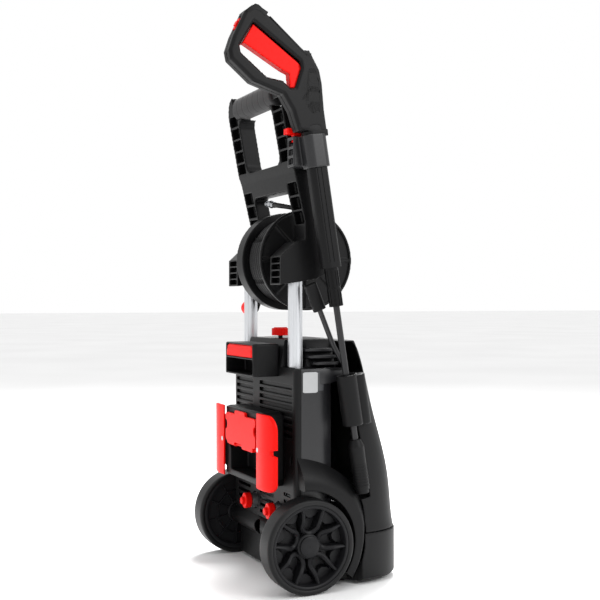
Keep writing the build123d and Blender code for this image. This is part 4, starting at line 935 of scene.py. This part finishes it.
# ---------------------------------------------------------------- handle and reel
def soft_grip(segments):
    """Soft grip as an oval sleeve in raised bands, with rounded shoulders."""
    shape = bmesh.new()
    y, z = (GRIP_LOW.y + GRIP_HIGH.y) / 2, (GRIP_LOW.z + GRIP_HIGH.z) / 2
    half_y, half_z = (GRIP_HIGH.y - GRIP_LOW.y) / 2, (GRIP_HIGH.z - GRIP_LOW.z) / 2
    length = GRIP_HIGH.x - GRIP_LOW.x
    band = length / segments
    loops = []
    steps = 14 * segments
    for i in range(steps + 1):
        x = GRIP_LOW.x + length * i / steps
        inside = ((x - GRIP_LOW.x) % band) / band
        groove = 1 - 0.03 * max(0.0, 1 - min(inside, 1 - inside) * band / (1.6 * MM))
        end = min(i, steps - i) / steps * length
        shoulder = 0.9 + 0.1 * math.sin(math.pi / 2 * min(1.0, end / (5 * MM)))
        loop = []
        for k in range(40):
            a = 2 * math.pi * k / 40
            c, s = math.cos(a), math.sin(a)
            oval_y = math.copysign(abs(c) ** 0.82, c)
            oval_z = math.copysign(abs(s) ** 0.82, s)
            loop.append(shape.verts.new((x, y + half_y * oval_y * groove * shoulder,
                                         z + half_z * oval_z * groove * shoulder)))
        loops.append(loop)
    ring_faces(shape, loops, closed=False)
    return shape


class WASHER_OT_handle(bpy.types.Operator):
    """Handle frame, grip, reel flanges and the gun's clip"""
    bl_idname = "washer.handle"
    bl_label = "Build handle"

    def execute(self, context):
        sizes = context.scene.washer_sizes
        skin = sizes.skin / MM
        moulded("handle_moulding", ["handle_frame"], skin + 0.1, 2)
        from_bmesh("soft_grip", soft_grip(sizes.grip_segments), "grip", "chassis", ["handle_grip"], 50)
        moulded("reel_disc_left", ["reel_flange_left"], 1.3, 2)
        moulded("reel_disc_right", ["reel_flange_right"], 1.4, 2)
        moulded("park_clip", ["gun_clip"], 1.1, 3)
        moulded("park_button", ["clip_button"], 0.9, 3)
        return {"FINISHED"}


# ---------------------------------------------------------------- spray gun
# trims of the gun: name, outline as (y, z) in mm, half width from the parting plane, slot
GUN_TRIMS = (
    ("gun_foot", [(-5.6, 774), (-6.6, 763.6), (12, 766.2), (30, 768.9), (46.2, 771.2), (48, 778), (20, 784)],
     14.8, "dark_shell"),
    ("gun_crown", [(103, 956.5), (113, 961.6), (120, 966.6), (126, 967.6), (133, 963.4), (143, 954.6),
                   (136, 950), (127, 956.4), (118, 953.6), (108, 946.4)], 15, "black_frame"),
    ("gun_spine", [(24, 897), (41, 902.4), (100, 951), (98, 946), (44, 898), (30, 888)], 15, "black_frame"),
    ("gun_cheek", [(8, 800), (6.5, 846), (14, 872), (24, 884), (33, 868), (46, 834), (38, 812), (24, 796)], 15,
     "dark_shell"),
    ("gun_rib_high", [(10, 852), (13, 862), (44, 822), (40, 816)], 15, "black_frame"),
    ("gun_rib_low", [(8, 834), (8.6, 842), (34, 809), (30, 804)], 15, "black_frame"),
)


def slab(outline, x0, x1, round_mm=1.4):
    """Flat moulding with softened edges, from an outline in (y, z)."""
    shape = bmesh.new()
    loops = [[shape.verts.new((x * MM, y * MM, z * MM)) for y, z in outline] for x in (x0, x1)]
    ring_faces(shape, loops, closed=False)
    bmesh.ops.recalc_face_normals(shape, faces=shape.faces)
    bmesh.ops.bevel(shape, geom=shape.edges[:], offset=round_mm * MM, segments=2, profile=0.7, affect="EDGES",
                    clamp_overlap=True)
    return shape


class WASHER_OT_gun(bpy.types.Operator):
    """Spray gun shells with their trims, trigger and the spare lance's collar"""
    bl_idname = "washer.gun"
    bl_label = "Build spray gun"

    def execute(self, context):
        moulded("gun_body_left", ["gun_shell_left"], 1.2, 5)
        moulded("gun_body_right", ["gun_shell_right"], 1.2, 5)
        moulded("trigger_lever_soft", ["trigger"], 1.1, 4)
        low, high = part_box("gun_shell_left")
        middle = high.x / MM
        for name, outline, outer, slot in GUN_TRIMS:
            from_bmesh(name, slab(outline, middle - outer, middle + outer), slot, "gun", (), 40)
        moulded("spare_bayonet", ["spare_lance_collar"], 1.0, 3)
        return {"FINISHED"}


class WASHER_OT_finishes(bpy.types.Operator):
    """Materials for every node"""
    bl_idname = "washer.finishes"
    bl_label = "Make finishes"

    def execute(self, context):
        make_finishes(context.scene.washer_colours)
        for node, thing in frame["nodes"].items():
            thing.data.materials.clear()
            thing.data.materials.append(FINISHES[SLOT_OF[node]])
        return {"FINISHED"}


OPERATORS = (WASHER_OT_stage, WASHER_OT_finishes, WASHER_OT_hose, WASHER_OT_wheels, WASHER_OT_body,
             WASHER_OT_rear_fittings, WASHER_OT_handle, WASHER_OT_gun)


class WASHER_PT_panel(bpy.types.Panel):
    """Sidebar panel with the washer's settings and builders"""
    bl_idname = "WASHER_PT_panel"
    bl_label = "Pressure washer"
    bl_space_type = "VIEW_3D"
    bl_region_type = "UI"
    bl_category = "Washer"

    def draw(self, context):
        for group in (context.scene.washer_colours, context.scene.washer_sizes):
            for name in group.bl_rna.properties.keys():
                if name not in ("rna_type", "name"):
                    self.layout.prop(group, name)
        for operator in OPERATORS:
            self.layout.operator(operator.bl_idname)


CLASSES = (WasherColours, WasherSizes, *OPERATORS, WASHER_PT_panel)


def register():
    """Registers the classes and their settings."""
    for cls in CLASSES:
        bpy.utils.register_class(cls)
    bpy.types.Scene.washer_colours = bpy.props.PointerProperty(type=WasherColours)
    bpy.types.Scene.washer_sizes = bpy.props.PointerProperty(type=WasherSizes)


def unregister():
    """Removes the classes and their settings."""
    del bpy.types.Scene.washer_sizes
    del bpy.types.Scene.washer_colours
    for cls in reversed(CLASSES):
        bpy.utils.unregister_class(cls)


def main():
    """Builds everything in order."""
    register()
    bpy.ops.washer.stage()
    bpy.ops.washer.finishes()
    bpy.ops.washer.hose()
    bpy.ops.washer.wheels()
    bpy.ops.washer.body()
    bpy.ops.washer.rear_fittings()
    bpy.ops.washer.handle()
    bpy.ops.washer.gun()


if __name__ == "__main__":
    main()
